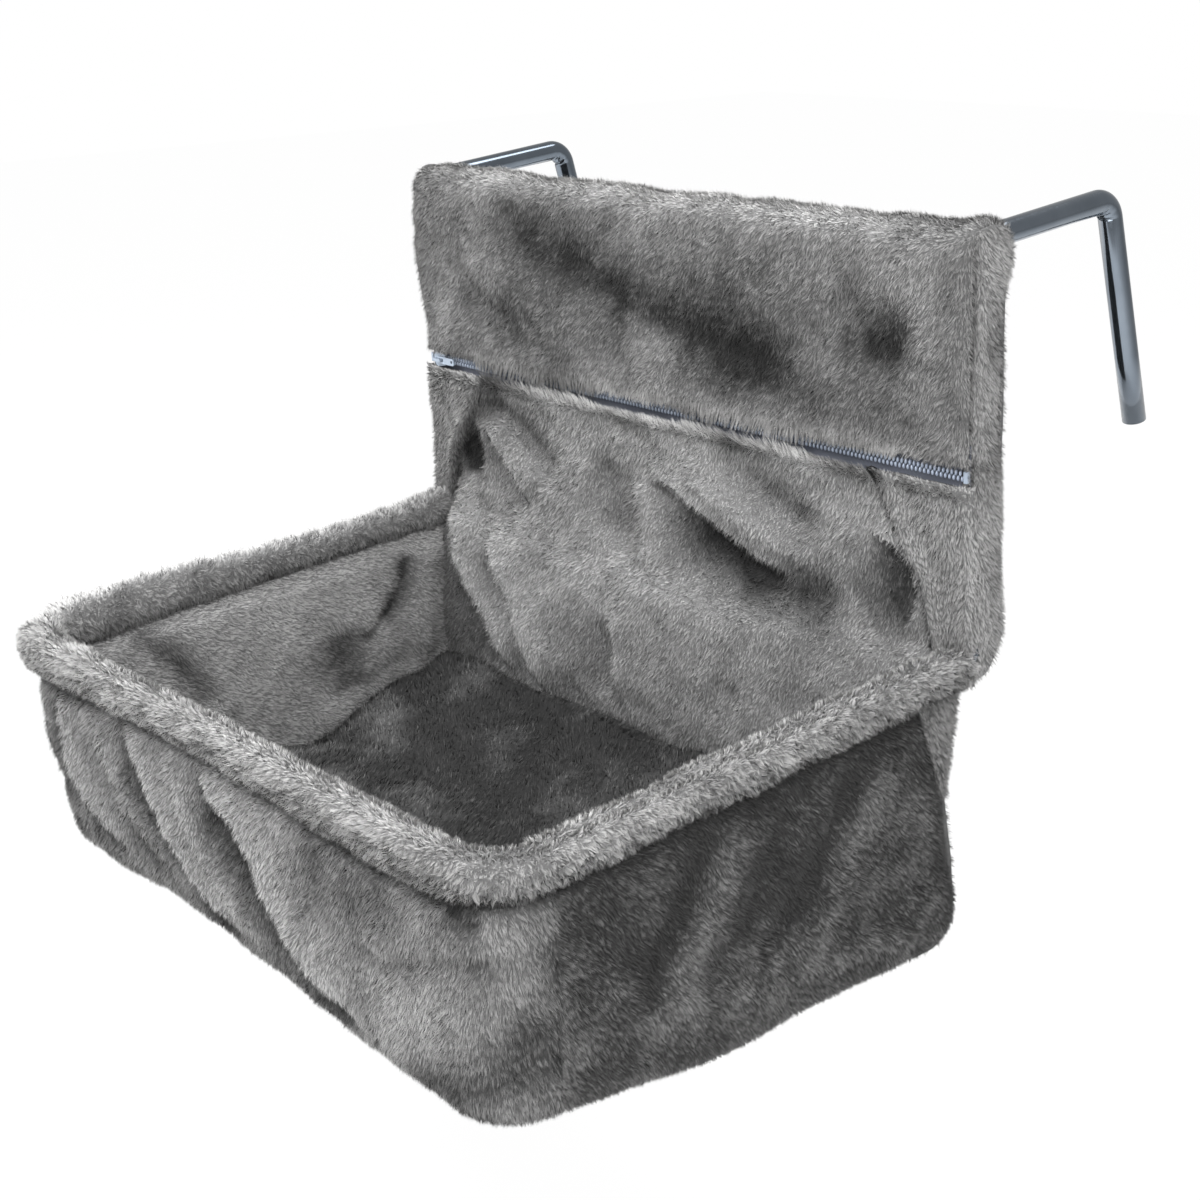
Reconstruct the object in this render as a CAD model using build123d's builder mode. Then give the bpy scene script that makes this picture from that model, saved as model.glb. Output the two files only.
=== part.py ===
from build123d import *
import math
import os

os.makedirs("parts", exist_ok=True)

# Radiator cat bed: a plush basket that hangs from a radiator on two bent steel tubes.
# The origin is on the radiator's top edge, midway between the hooks. +X is to the right seen
# from the room, +Y points back to the wall and +Z is up. All sizes are in millimetres and degrees.

# Steel frame. Each side tube runs from the leg behind the radiator over the arm, down the
# upright and forward along the rim. Its corners are where the straight runs would cross.
frame_width = 418.0
tube_diameter = 12.0
tube_wall = 1.0
seat_to_leg = 44.0
seat_to_shoulder = 48.0
leg_length = 119.0
upright_length = 205.0
rail_length = 306.0
arm_rise = 5.6
leg_splay = 15.7
upright_lean = 2.4
rail_fall = 4.4
hook_bend_radius = 11.0
shoulder_bend_radius = 14.0
rim_bend_radius = 25.0
corner_bend_radius = 28.0
rail_joint_reach = 175.0
swage_length = 4.0
spigot_length = 34.0
spigot_clearance = 0.1
top_cross_drop = 1.0
rear_cross_height = 36.0
weld_gap = 0.05

# How far a cut runs past what it cuts
overrun = 5.0

# Cover. Plush is the cloth with its backing, without the standing pile.
plush = 4.0
seam_gap = 0.3
stitch_gap = 0.1
sleeve_clearance = 0.3
pocket_setback = 15.0
pocket_depth = 22.0
pocket_side_room = 0.4
fold_radius = 11.0
rear_seam_height = 186.0
rim_tunnel_depth = 16.0
roll_lobe_radius = 7.4
roll_lobe_spread = 3.4
roll_lobe_rise = 0.6
basket_depth = 143.0
wall_taper = 5.0
lining_taper = 10.0
outer_fold_depth = 6.0
lining_fold_depth = 8.0
base_thickness = 2.0

# Back wall of the basket and the tuck of the pocket, as places in the side view: the reach is
# how far a place lies in front of the rim corner, the drop how far under it.
tuck_knee_height = 8.0
tuck_reach = 23.0
tuck_drop = 24.0
waist_reach = 27.0
waist_drop = 64.0
low_drop = 103.0
foot_reach = 19.0
rear_bend_radius = 10.0
gusset_notch_depth = 11.0
gusset_notch_drop = 1.0
gusset_foot_drop = 9.0
wedge_reach = 53.0
wedge_tip = 1.5

# Zip across the back rest
zip_height = 95.7
zip_length = 428.0
zip_slot = 10.4
tape_width = 30.0
tape_thickness = 0.6
chain_width = 5.6
chain_thickness = 2.4
chain_split = 0.8
coil_rounding = 0.7
stop_length = 2.5
slider_from_end = 11.0
slider_length = 11.0
slider_width = 8.8
slider_plate = 1.2
slider_clearance = 0.3
slider_nose = 2.2
slider_post_thickness = 0.3
slider_post_length = 3.0
bridge_length = 6.8
bridge_wire = 1.0
bridge_width = 1.6
bridge_gap = 1.8
pull_length = 16.0
pull_width = 4.4
pull_thickness = 1.0
pull_eye_length = 5.2
pull_hole_diameter = 2.0

# Strips beside the back lining
strip_top_width = 66.0
strip_waist_width = 38.0
strip_waist_height = 36.0
strip_foot_width = 19.0
strip_foot_height = -4.0
strip_drop = 10.0
rail_hole_height = 1.3
rail_hole_room = 1.5
arm_hole_room = 2.4

# Back lining, which hangs slack from the zip tape's foot to the base. Each level below that has
# its height over the rim corner, the reach of its side edges and of its middle, and half its width.
slack_top_half = 156.0
slack_levels = (
    (62.0, 11.5, 18.5, 167.0),
    (42.0, 11.0, 20.0, 184.0),
    (5.0, 10.0, 25.0, 195.5),
    (-9.0, 25.0, 31.0, 195.0),
    (-waist_drop, 31.0, 36.0, 197.0),
    (-low_drop, 29.0, 32.0, 195.0),
    (-basket_depth, 25.0, 27.0, 193.5),
)

# Floor
board_thickness = 3.0
board_gap = 1.0
board_reach = 36.0
pad_thickness = 42.0
pad_gap = 1.5
pad_rear_gap = 4.0
pad_corner_radius = 26.0
pad_side_pull = 4.0
pad_foot_inset = 6.0
pad_shoulder_inset = 7.0
pad_crown_inset = 70.0

# Shares. A wall has four levels: the stitch line, the waist, low on the wall and the base. Each
# has its share of the rim's slope, of the taper and of the fold depth, and the fold creases.
wall_tilt_shares = (1.0, 0.55, 0.25, 0.0)
wall_taper_shares = (0.0, 0.4, 0.7, 1.0)
outer_depth_shares = (0.25, 0.85, 1.0, 0.45)
side_depth_shares = (0.12, 0.42, 0.5, 0.2)
lining_depth_shares = (0.15, 1.0, 0.45, 0.05)
front_outer_crease_shares = (
    (0.0, 0.05, 0.10, 0.15, 0.21, 0.28, 0.40, 0.66, 1.0),
    (0.0, 0.08, 0.16, 0.24, 0.33, 0.43, 0.56, 0.76, 1.0),
    (0.0, 0.11, 0.22, 0.33, 0.44, 0.56, 0.69, 0.84, 1.0),
    (0.0, 0.13, 0.27, 0.40, 0.52, 0.64, 0.77, 0.89, 1.0),
)
side_outer_crease_shares = (
    (0.0, 0.28, 0.56, 0.82, 1.0),
    (0.0, 0.23, 0.48, 0.74, 1.0),
    (0.0, 0.18, 0.40, 0.66, 1.0),
    (0.0, 0.15, 0.36, 0.62, 1.0),
)
front_lining_crease_shares = (
    (0.0, 0.30, 0.62, 1.0),
    (0.0, 0.34, 0.66, 1.0),
    (0.0, 0.36, 0.68, 1.0),
    (0.0, 0.38, 0.70, 1.0),
)
side_lining_crease_shares = (
    (0.0, 0.38, 0.66, 0.86, 1.0),
    (0.0, 0.36, 0.64, 0.84, 1.0),
    (0.0, 0.34, 0.62, 0.84, 1.0),
    (0.0, 0.32, 0.62, 0.84, 1.0),
)
side_lining_bulge_shares = (1.0, 1.0, 0.8, 0.1)
slack_crease_shares = (
    (0.0, 0.12, 0.30, 0.48, 0.66, 0.84, 1.0),
    (0.0, 0.09, 0.26, 0.44, 0.64, 0.84, 1.0),
    (0.0, 0.10, 0.28, 0.46, 0.66, 0.87, 1.0),
    (0.0, 0.13, 0.32, 0.52, 0.71, 0.89, 1.0),
    (0.0, 0.14, 0.34, 0.53, 0.72, 0.89, 1.0),
    (0.0, 0.14, 0.34, 0.52, 0.70, 0.88, 1.0),
    (0.0, 0.12, 0.32, 0.50, 0.68, 0.87, 1.0),
    (0.0, 0.12, 0.30, 0.48, 0.66, 0.84, 1.0),
)
slack_depth_shares = (0.08, 0.6, 0.8, 0.9, 0.8, 0.6, 0.35, 0.1)
slack_bulge_shares = (0.25, 0.8, 1.0, 1.0, 0.8, 0.25)
pad_height_shares = (0.0, 0.42, 0.82, 1.0)
pull_corner_share = 0.25

tube_radius = tube_diameter / 2
half_frame = frame_width / 2
half_pocket = half_frame + tube_radius + pocket_side_room + plush


def slope(angle):
    """Direction in the side view that rises by an angle towards the wall."""
    return Vector(0, math.cos(math.radians(angle)), math.sin(math.radians(angle)))


# Corners of the side tubes, in the side view
arm_over_seat = Vector(0, 0, tube_radius / math.cos(math.radians(arm_rise)))
hook_corner = arm_over_seat + slope(arm_rise) * (seat_to_leg / math.cos(math.radians(arm_rise)))
shoulder = arm_over_seat - slope(arm_rise) * (seat_to_shoulder / math.cos(math.radians(arm_rise)))
leg_end = hook_corner + slope(leg_splay - 90) * leg_length
rim_corner = shoulder - slope(90 + upright_lean) * upright_length
rail_joint = rim_corner - slope(rail_fall) * rail_joint_reach

# The rim lies in one plane. Its y is measured back from the rim corner along the side rails.
rim_plane = Plane(origin=rim_corner, x_dir=(1, 0, 0), z_dir=slope(90 + rail_fall))

# The pocket stands parallel to the uprights. Its datum is the back face of the front panel. In
# its side view x runs back from the datum and y runs up the uprights.
pocket_origin = rim_corner - slope(upright_lean) * pocket_setback
pocket_side = Plane(origin=pocket_origin, x_dir=slope(upright_lean), z_dir=(1, 0, 0))
pocket_face = Plane(origin=pocket_origin, x_dir=(1, 0, 0), z_dir=-slope(upright_lean))
base_plane = Plane.XY.offset(rim_corner.Z - basket_depth)

hands = ((-1, "left"), (1, "right"))


def finish(part, label):
    """Name a finished piece and write it."""
    part.label = label
    export_step(part, f"parts/{label}.step")


def side_tube_route(side):
    """Centre line of a side tube, from the leg's end to the joint in the rim rail."""
    corners = (leg_end, hook_corner, shoulder, rim_corner, rail_joint)
    with BuildLine(Plane.YZ.offset(side * half_frame)) as route:
        FilletPolyline(
            *[(corner.Y, corner.Z) for corner in corners],
            radius=[hook_bend_radius, shoulder_bend_radius, rim_bend_radius],
        )
    return route.line


def side_tube_bar(side, radius):
    """Round bar along a side tube, for the holes and copes round it."""
    route = side_tube_route(side)
    with BuildPart(mode=Mode.PRIVATE) as bar:
        with BuildSketch(Plane(origin=route @ 0, z_dir=route % 0)):
            Circle(radius)
        sweep(path=route)
    return bar.part


# Side tubes: bent tube with a swaged spigot that plugs into the front rim tube
spigot_radius = tube_radius - tube_wall - spigot_clearance
for side, hand in hands:
    route = side_tube_route(side)
    joint_origin = rail_joint + Vector(side * half_frame, 0, 0)
    with BuildPart() as side_tube:
        with BuildSketch(Plane(origin=route @ 0, z_dir=route % 0)):
            Circle(tube_radius)
            Circle(tube_radius - tube_wall, mode=Mode.SUBTRACT)
        sweep(path=route)
        with BuildSketch(Plane(origin=joint_origin, x_dir=-slope(rail_fall), z_dir=(1, 0, 0))):
            with BuildLine():
                Polyline(
                    (0, tube_radius - tube_wall),
                    (0, tube_radius),
                    (swage_length, spigot_radius),
                    (swage_length + spigot_length, spigot_radius),
                    (swage_length + spigot_length, spigot_radius - tube_wall),
                    (swage_length, spigot_radius - tube_wall),
                    close=True,
                )
            make_face()
        revolve(axis=Axis(joint_origin, -slope(rail_fall)))
    finish(side_tube.part, f"{hand}_side_tube")

# Front rim tube: a U whose ends slip over the spigots
front_joint_y = -(rail_joint_reach + swage_length)
with BuildPart() as front_rim_tube:
    with BuildLine(rim_plane) as rim_route:
        FilletPolyline(
            (-half_frame, front_joint_y),
            (-half_frame, -rail_length),
            (half_frame, -rail_length),
            (half_frame, front_joint_y),
            radius=corner_bend_radius,
        )
    with BuildSketch(Plane(origin=rim_route.line @ 0, z_dir=rim_route.line % 0)):
        Circle(tube_radius)
        Circle(tube_radius - tube_wall, mode=Mode.SUBTRACT)
    sweep(path=rim_route.line)
finish(front_rim_tube.part, "front_rim_tube")

# Cross tubes: coped and welded between the side tubes. The top one carries the cover's fold.
top_cross_centre = shoulder - Vector(0, 0, top_cross_drop)
rear_cross_centre = rim_corner + slope(90 + upright_lean) * rear_cross_height
for centre, label in ((top_cross_centre, "top_cross_tube"), (rear_cross_centre, "rear_cross_tube")):
    with BuildPart() as cross_tube:
        with BuildSketch(Plane.YZ):
            with Locations((centre.Y, centre.Z)):
                Circle(tube_radius)
                Circle(tube_radius - tube_wall, mode=Mode.SUBTRACT)
        extrude(amount=half_frame, both=True)
        for side, hand in hands:
            add(side_tube_bar(side, tube_radius + weld_gap), mode=Mode.SUBTRACT)
    finish(cross_tube.part, label)


# Rim sleeves: a tunnel of two plush layers round the tube, sewn together along a groove on top
# and along a stitch line under it
tail_half = plush + seam_gap
foot_turn = math.degrees(math.acos((tail_half - roll_lobe_spread) / roll_lobe_radius))
groove_turn = 180 - math.degrees(math.acos(roll_lobe_spread / roll_lobe_radius))
with BuildSketch() as roll_section:
    with BuildLine():
        for side, start in ((-1, 180), (1, 0)):
            centre = (side * roll_lobe_spread, roll_lobe_rise)
            lower = CenterArc(centre, roll_lobe_radius, start, -side * foot_turn)
            CenterArc(centre, roll_lobe_radius, start, side * groove_turn)
            Line(lower @ 1, (side * tail_half, -rim_tunnel_depth))
        Line((-tail_half, -rim_tunnel_depth), (tail_half, -rim_tunnel_depth))
    make_face()
    Circle(tube_radius + sleeve_clearance, mode=Mode.SUBTRACT)

corner_y = -(rail_length - corner_bend_radius)
with BuildPart() as front_rim_sleeve:
    with BuildLine(rim_plane) as sleeve_route:
        FilletPolyline(
            (-half_frame, corner_y + seam_gap),
            (-half_frame, -rail_length),
            (half_frame, -rail_length),
            (half_frame, corner_y + seam_gap),
            radius=corner_bend_radius,
        )
    sleeve_start = Plane(origin=sleeve_route.line @ 0, x_dir=(1, 0, 0), z_dir=sleeve_route.line % 0)
    with BuildSketch(sleeve_start):
        add(roll_section.sketch)
    sweep(path=sleeve_route.line)
finish(front_rim_sleeve.part, "front_rim_sleeve")

sleeve_front_y = corner_y + 2 * seam_gap
sleeve_rear_y = -(pocket_setback + plush + 6 * seam_gap)
for side, hand in hands:
    sleeve_front = rim_corner + slope(rail_fall) * sleeve_front_y + Vector(side * half_frame, 0, 0)
    with BuildPart() as rim_sleeve:
        with BuildSketch(Plane(origin=sleeve_front, x_dir=(-1, 0, 0), z_dir=slope(rail_fall))):
            add(roll_section.sketch)
        extrude(amount=sleeve_rear_y - sleeve_front_y)
        add(side_tube_bar(side, tube_radius + sleeve_clearance), mode=Mode.SUBTRACT)
    finish(rim_sleeve.part, f"{hand}_rim_sleeve")


# Walls of the basket. Each is a ruled loft through the outlines at the four levels. An outline
# is the cloth between two chains, and a chain is a row of arcs: its points and the arcs' middles.
wall_levels = range(len(wall_tilt_shares))
wall_drops = (0, waist_drop, low_drop, basket_depth)
stitch_origin = rim_corner - slope(90 + rail_fall) * (rim_tunnel_depth + stitch_gap)


def level_plane(level):
    """Plane of one outline: parallel to the rim at the stitch line and level at the base."""
    origin = rim_corner - Vector(0, 0, wall_drops[level]) if level else stitch_origin
    tilt = rail_fall * wall_tilt_shares[level]
    return Plane(origin=origin, x_dir=(1, 0, 0), z_dir=slope(90 + tilt))


def fold_chain(start, end, shares, bulges):
    """Row of shallow arcs between two points, each bulging by its own vector."""
    points = [start + (end - start) * share for share in shares]
    mids = [(a + b) * 0.5 + bulge for a, b, bulge in zip(points, points[1:], bulges)]
    return points, mids


def cloth_face(near, far, round_turns=False):
    """Face between two chains that run side by side. The near one is the hidden side of the cloth,
    whose shallow folds are creased. With round turns its first and last arcs stay arcs."""
    with BuildSketch() as cloth:
        with BuildLine():
            for start, middle, end in zip(far[0], far[1], far[0][1:]):
                ThreePointArc(start, middle, end)
            for start, middle, end in zip(near[0], near[1], near[0][1:]):
                if round_turns and (start == near[0][0] or end == near[0][-1]):
                    ThreePointArc(start, middle, end)
                else:
                    Polyline(start, middle, end)
            Line(near[0][0], far[0][0])
            Line(near[0][-1], far[0][-1])
        make_face()
    return cloth.sketch


def front_chain(level, outward, taper, shares, bulge):
    """Chain round the front of the basket, with a quarter turn at each corner. Outward is
    measured from the rim tube's centre line."""
    inset = taper * wall_taper_shares[level]
    radius = corner_bend_radius + outward
    diagonal = radius * math.sqrt(0.5)
    right = Vector(half_frame - inset - corner_bend_radius, corner_y + inset)
    left = Vector(-right.X, right.Y)
    start = left + Vector(0, -radius)
    end = right + Vector(0, -radius)
    points, mids = fold_chain(start, end, shares, [Vector(0, -bulge)] * (len(shares) - 1))
    points = [left + Vector(-radius, 0)] + points + [right + Vector(radius, 0)]
    mids = [left + Vector(-diagonal, -diagonal)] + mids + [right + Vector(diagonal, -diagonal)]
    return points, mids


def side_chain(side, level, outward, taper, shares, bulges, rear_y):
    """Chain along one side of the basket, from the front corner to the back wall."""
    inset = taper * wall_taper_shares[level]
    x = side * (half_frame - inset + outward)
    start = Vector(x, corner_y + inset + seam_gap)
    return fold_chain(start, Vector(x, rear_y), shares, [Vector(side * b, 0) for b in bulges])


# The back wall's front face at each level, and the rear edge of the outer side walls, which
# leaves room for the wedge under the pocket
stitch_setback = rim_corner.Y - stitch_origin.Y
low_reach = (waist_reach + foot_reach) / 2
rear_face_reaches = (tuck_reach - stitch_setback, waist_reach, low_reach, foot_reach)
rear_face_ys = [-(reach + plush / 2 + seam_gap) for reach in rear_face_reaches]
outer_rear_ys = [-wedge_reach, rear_face_ys[1] - wedge_tip - seam_gap, rear_face_ys[2], rear_face_ys[3]]

with BuildPart() as front_outer_panel:
    for level in wall_levels:
        shares = front_outer_crease_shares[level]
        bulge = outer_fold_depth * outer_depth_shares[level]
        near = front_chain(level, seam_gap, wall_taper, shares, bulge)
        far = front_chain(level, seam_gap + plush, wall_taper, shares, bulge)
        with BuildSketch(level_plane(level)):
            add(cloth_face(near, far, round_turns=True))
    loft(ruled=True)
finish(front_outer_panel.part, "front_outer_panel")

with BuildPart() as front_lining:
    for level in wall_levels:
        shares = front_lining_crease_shares[level]
        bulge = -lining_fold_depth * lining_depth_shares[level]
        near = front_chain(level, -seam_gap, lining_taper, shares, bulge)
        far = front_chain(level, -seam_gap - plush, lining_taper, shares, bulge)
        with BuildSketch(level_plane(level)):
            add(cloth_face(near, far, round_turns=True))
    loft(ruled=True)
finish(front_lining.part, "front_lining")

for side, hand in hands:
    with BuildPart() as side_outer_panel:
        for level in wall_levels:
            shares = side_outer_crease_shares[level]
            bulges = [outer_fold_depth * side_depth_shares[level]] * (len(shares) - 1)
            rear_y = outer_rear_ys[level]
            near = side_chain(side, level, seam_gap, wall_taper, shares, bulges, rear_y)
            far = side_chain(side, level, seam_gap + plush, wall_taper, shares, bulges, rear_y)
            with BuildSketch(level_plane(level)):
                add(cloth_face(near, far))
        loft(ruled=True)
    finish(side_outer_panel.part, f"{hand}_outer_panel")

    # Wedge between the outer side wall and the back wall, under the pocket's side
    with BuildPart() as side_wedge:
        for level in (0, 1):
            front_y = outer_rear_ys[level] + seam_gap
            middle_y = (front_y + rear_face_ys[level]) / 2
            middle_x = half_frame - wall_taper * wall_taper_shares[level] + seam_gap + plush / 2
            with BuildSketch(level_plane(level)):
                with Locations((side * middle_x, middle_y)):
                    Rectangle(plush, rear_face_ys[level] - front_y)
        loft(ruled=True)
    finish(side_wedge.part, f"{hand}_wedge")

    with BuildPart() as side_lining:
        for level in wall_levels:
            shares = side_lining_crease_shares[level]
            depth = lining_fold_depth * lining_depth_shares[level]
            bulges = [-depth * share for share in side_lining_bulge_shares]
            rear_y = rear_face_ys[level]
            near = side_chain(side, level, -seam_gap, lining_taper, shares, bulges, rear_y)
            far = side_chain(side, level, -seam_gap - plush, lining_taper, shares, bulges, rear_y)
            with BuildSketch(level_plane(level)):
                add(cloth_face(near, far))
        loft(ruled=True)
    finish(side_lining.part, f"{hand}_lining")

# Top fold of the pocket: up the front from the zip, over the top tube, down to the rear seam
top_cross_local = pocket_side.to_local_coords(top_cross_centre)
fold_inside = top_cross_local.Y + tube_radius + seam_gap
zip_slot_top = zip_height + zip_slot / 2
zip_slot_foot = zip_height - zip_slot / 2
with BuildPart() as pocket_front_panel:
    with BuildSketch(pocket_side):
        with BuildLine():
            FilletPolyline(
                (-plush / 2, zip_slot_top),
                (-plush / 2, fold_inside + plush / 2),
                (pocket_depth + plush / 2, fold_inside + plush / 2),
                (pocket_depth + plush / 2, rear_seam_height),
                radius=fold_radius - plush / 2,
            )
        trace(line_width=plush)
    extrude(amount=half_pocket, both=True)
    with BuildSketch(Plane(origin=shoulder, x_dir=(1, 0, 0), z_dir=slope(arm_rise))):
        for side, hand in hands:
            with Locations((side * half_frame, 0)):
                Circle(tube_radius + arm_hole_room)
    extrude(amount=seat_to_shoulder, mode=Mode.SUBTRACT)
finish(pocket_front_panel.part, "pocket_front_panel")

# Rear panel: the back of the pocket, tucked forward under the rim, then down to the base
rear_top = pocket_side.from_local_coords((pocket_depth + plush / 2, rear_seam_height))
rear_knee = pocket_side.from_local_coords((pocket_depth + plush / 2, tuck_knee_height))
rear_places = ((tuck_reach, tuck_drop), (waist_reach, waist_drop), (foot_reach, basket_depth))
rear_corners = [rear_top, rear_knee] + [rim_corner - Vector(0, *place) for place in rear_places]
gusset_inside = half_pocket - plush
rear_half_widths = (
    (half_pocket, rear_top.Z),
    (half_pocket, rear_knee.Z + plush),
    (gusset_inside - seam_gap, rear_knee.Z + plush),
    (half_frame + seam_gap + plush, rim_corner.Z - tuck_drop),
    (half_frame + seam_gap + plush - wall_taper, rim_corner.Z - basket_depth),
)
with BuildPart() as rear_panel:
    with BuildSketch(Plane.YZ):
        with BuildLine():
            FilletPolyline(*[(corner.Y, corner.Z) for corner in rear_corners], radius=rear_bend_radius)
        trace(line_width=plush)
    extrude(amount=half_pocket, both=True)
    with BuildSketch(Plane.XZ):
        with BuildLine():
            Polyline(
                *rear_half_widths,
                *[(-half_width, height) for half_width, height in reversed(rear_half_widths)],
                close=True,
            )
        make_face()
    extrude(amount=half_frame, both=True, mode=Mode.INTERSECT)
finish(rear_panel.part, "rear_panel")

# Gussets: the side walls of the pocket, outside the uprights
for side, hand in hands:
    with BuildPart() as gusset:
        with BuildSketch(pocket_side.offset(side * gusset_inside)):
            with BuildLine():
                upper = FilletPolyline(
                    (seam_gap, -gusset_foot_drop),
                    (seam_gap, fold_inside - seam_gap),
                    (pocket_depth - seam_gap, fold_inside - seam_gap),
                    (pocket_depth - seam_gap, tuck_knee_height + plush),
                    radius=fold_radius - plush,
                )
                Polyline(upper @ 1, (gusset_notch_depth, -gusset_notch_drop), upper @ 0)
            make_face()
        extrude(amount=side * plush)
    finish(gusset.part, f"{hand}_gusset")

# Border strips under the zip, beside the slack back lining. The rim rails pass through them.
for side, hand in hands:
    strip_top = (side * (half_pocket - strip_top_width), zip_slot_foot)
    strip_waist = (side * (half_pocket - strip_waist_width), strip_waist_height)
    strip_foot = (side * (half_pocket - strip_foot_width), strip_foot_height)
    with BuildPart() as border_strip:
        with BuildSketch(pocket_face):
            with BuildLine():
                ThreePointArc(strip_top, strip_waist, strip_foot)
                Polyline(
                    strip_foot,
                    (side * (half_pocket - strip_foot_width), -strip_drop),
                    (side * half_pocket, -strip_drop),
                    (side * half_pocket, zip_slot_foot),
                    strip_top,
                )
            make_face()
            with Locations((side * half_frame, rail_hole_height)):
                Circle(tube_radius + rail_hole_room, mode=Mode.SUBTRACT)
        extrude(amount=plush)
    finish(border_strip.part, f"{hand}_border_strip")


def slack_chain(level, forward):
    """Chain across the back lining at one level, bowed forward in its middle."""
    height, edge_reach, middle_reach, half_width = lining_levels[level]
    points = []
    for share in slack_crease_shares[level]:
        across = 2 * share - 1
        reach = edge_reach + (middle_reach - edge_reach) * (1 - across**2)
        points.append(Vector(half_width * across, rim_corner.Y - reach - forward))
    depth = lining_fold_depth * slack_depth_shares[level]
    mids = [
        (a + b) * 0.5 - Vector(0, depth * share)
        for a, b, share in zip(points, points[1:], slack_bulge_shares)
    ]
    return points, mids


# Back lining: a flat band sewn under the zip, then large slanting folds down to the base
tape_foot = zip_height - tape_width / 2
band_foot = pocket_face.from_local_coords((0, tape_foot, stitch_gap)) - rim_corner
lining_levels = ((band_foot.Z, -band_foot.Y, -band_foot.Y, slack_top_half),) + slack_levels
with BuildPart() as back_lining:
    for level, places in enumerate(lining_levels):
        with BuildSketch(Plane.XY.offset(rim_corner.Z + places[0])):
            add(cloth_face(slack_chain(level, 0), slack_chain(level, plush)))
    loft(ruled=True)
    with BuildSketch(pocket_face.offset(stitch_gap)):
        with BuildLine():
            Polyline(
                (-slack_top_half, tape_foot),
                (strip_top_width + seam_gap - half_pocket, zip_slot_foot),
                (half_pocket - strip_top_width - seam_gap, zip_slot_foot),
                (slack_top_half, tape_foot),
                close=True,
            )
        make_face()
    extrude(amount=plush - stitch_gap)
finish(back_lining.part, "back_lining")

# Base cloth, with the stiff board and the floor pad on it
outer_half = half_frame - wall_taper + seam_gap + plush
outer_front = rim_corner.Y - (rail_length - wall_taper + seam_gap + plush)
base_rear = rim_corner.Y - (foot_reach - plush / 2)
with BuildPart() as base_panel:
    with BuildSketch(base_plane) as base_outline:
        with Locations((0, (outer_front + base_rear) / 2)):
            Rectangle(2 * outer_half, base_rear - outer_front)
        fillet(base_outline.vertices().sort_by(Axis.Y)[:2], radius=corner_bend_radius + seam_gap + plush)
    extrude(amount=-base_thickness)
finish(base_panel.part, "base_panel")

inner_half = half_frame - lining_taper - seam_gap - plush
inner_front = rim_corner.Y - (rail_length - lining_taper - seam_gap - plush)
board_front = inner_front + board_gap
board_rear = rim_corner.Y - board_reach
with BuildPart() as pad_board:
    with BuildSketch(base_plane):
        with Locations((0, (board_front + board_rear) / 2)):
            RectangleRounded(
                2 * (inner_half - board_gap),
                board_rear - board_front,
                corner_bend_radius - seam_gap - plush - board_gap,
            )
    extrude(amount=board_thickness)
finish(pad_board.part, "pad_board")


def pad_outline(half_length, front, rear):
    """Rounded outline whose four sides are drawn in between the corners."""
    middle = (front + rear) / 2
    reach = pad_corner_radius * math.sqrt(0.5)
    with BuildSketch() as outline:
        with BuildLine():
            for side in (-1, 1):
                edge = side * half_length
                inner = side * (half_length - pad_corner_radius)
                ThreePointArc(
                    (edge, front + pad_corner_radius),
                    (edge - side * pad_side_pull, middle),
                    (edge, rear - pad_corner_radius),
                )
                for end, sign in ((front, 1), (rear, -1)):
                    ThreePointArc(
                        (edge, end + sign * pad_corner_radius),
                        (inner + side * reach, end + sign * (pad_corner_radius - reach)),
                        (inner, end),
                    )
            for end, sign in ((front, 1), (rear, -1)):
                inner = half_length - pad_corner_radius
                ThreePointArc((-inner, end), (0, end + sign * pad_side_pull), (inner, end))
        make_face()
    return outline.sketch


# Floor pad: crowned on top, full at its edge and drawn in along its sides
pad_insets = (pad_foot_inset, 0, pad_shoulder_inset, pad_crown_inset)
with BuildPart() as floor_pad:
    for share, inset in zip(pad_height_shares, pad_insets):
        with BuildSketch(base_plane.offset(board_thickness + pad_thickness * share)):
            add(
                pad_outline(
                    inner_half - pad_gap - inset,
                    inner_front + pad_gap + inset,
                    board_rear - pad_rear_gap - inset,
                )
            )
    loft(ruled=True)
finish(floor_pad.part, "floor_pad")

# Zip: two tapes behind the cloth edges, a coil on each with a split between them, and end stops
half_zip = zip_length / 2
half_chain = chain_width / 2
half_split = chain_split / 2
for sign, label in ((1, "upper"), (-1, "lower")):
    with BuildPart() as tape:
        with BuildSketch(pocket_face):
            with Locations((0, zip_height + sign * (half_split + tape_width / 2) / 2)):
                Rectangle(zip_length, tape_width / 2 - half_split)
        extrude(amount=-tape_thickness)
    finish(tape.part, f"{label}_tape")
    with BuildPart() as coil:
        with BuildSketch(pocket_face):
            with Locations((0, zip_height + sign * (half_split + half_chain) / 2)):
                Rectangle(zip_length - 2 * stop_length, half_chain - half_split)
        extrude(amount=chain_thickness)
        front_edges = coil.faces().sort_by(Axis.Y)[0].edges().filter_by(Axis.X)
        fillet(front_edges, radius=coil_rounding)
    finish(coil.part, f"{label}_coil")

for side, hand in hands:
    with BuildPart() as end_stop:
        with BuildSketch(pocket_face):
            with Locations((side * (half_zip - stop_length / 2), zip_height)):
                Rectangle(stop_length - 2 * seam_gap, chain_width)
        extrude(amount=chain_thickness)
    finish(end_stop.part, f"{hand}_end_stop")

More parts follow.
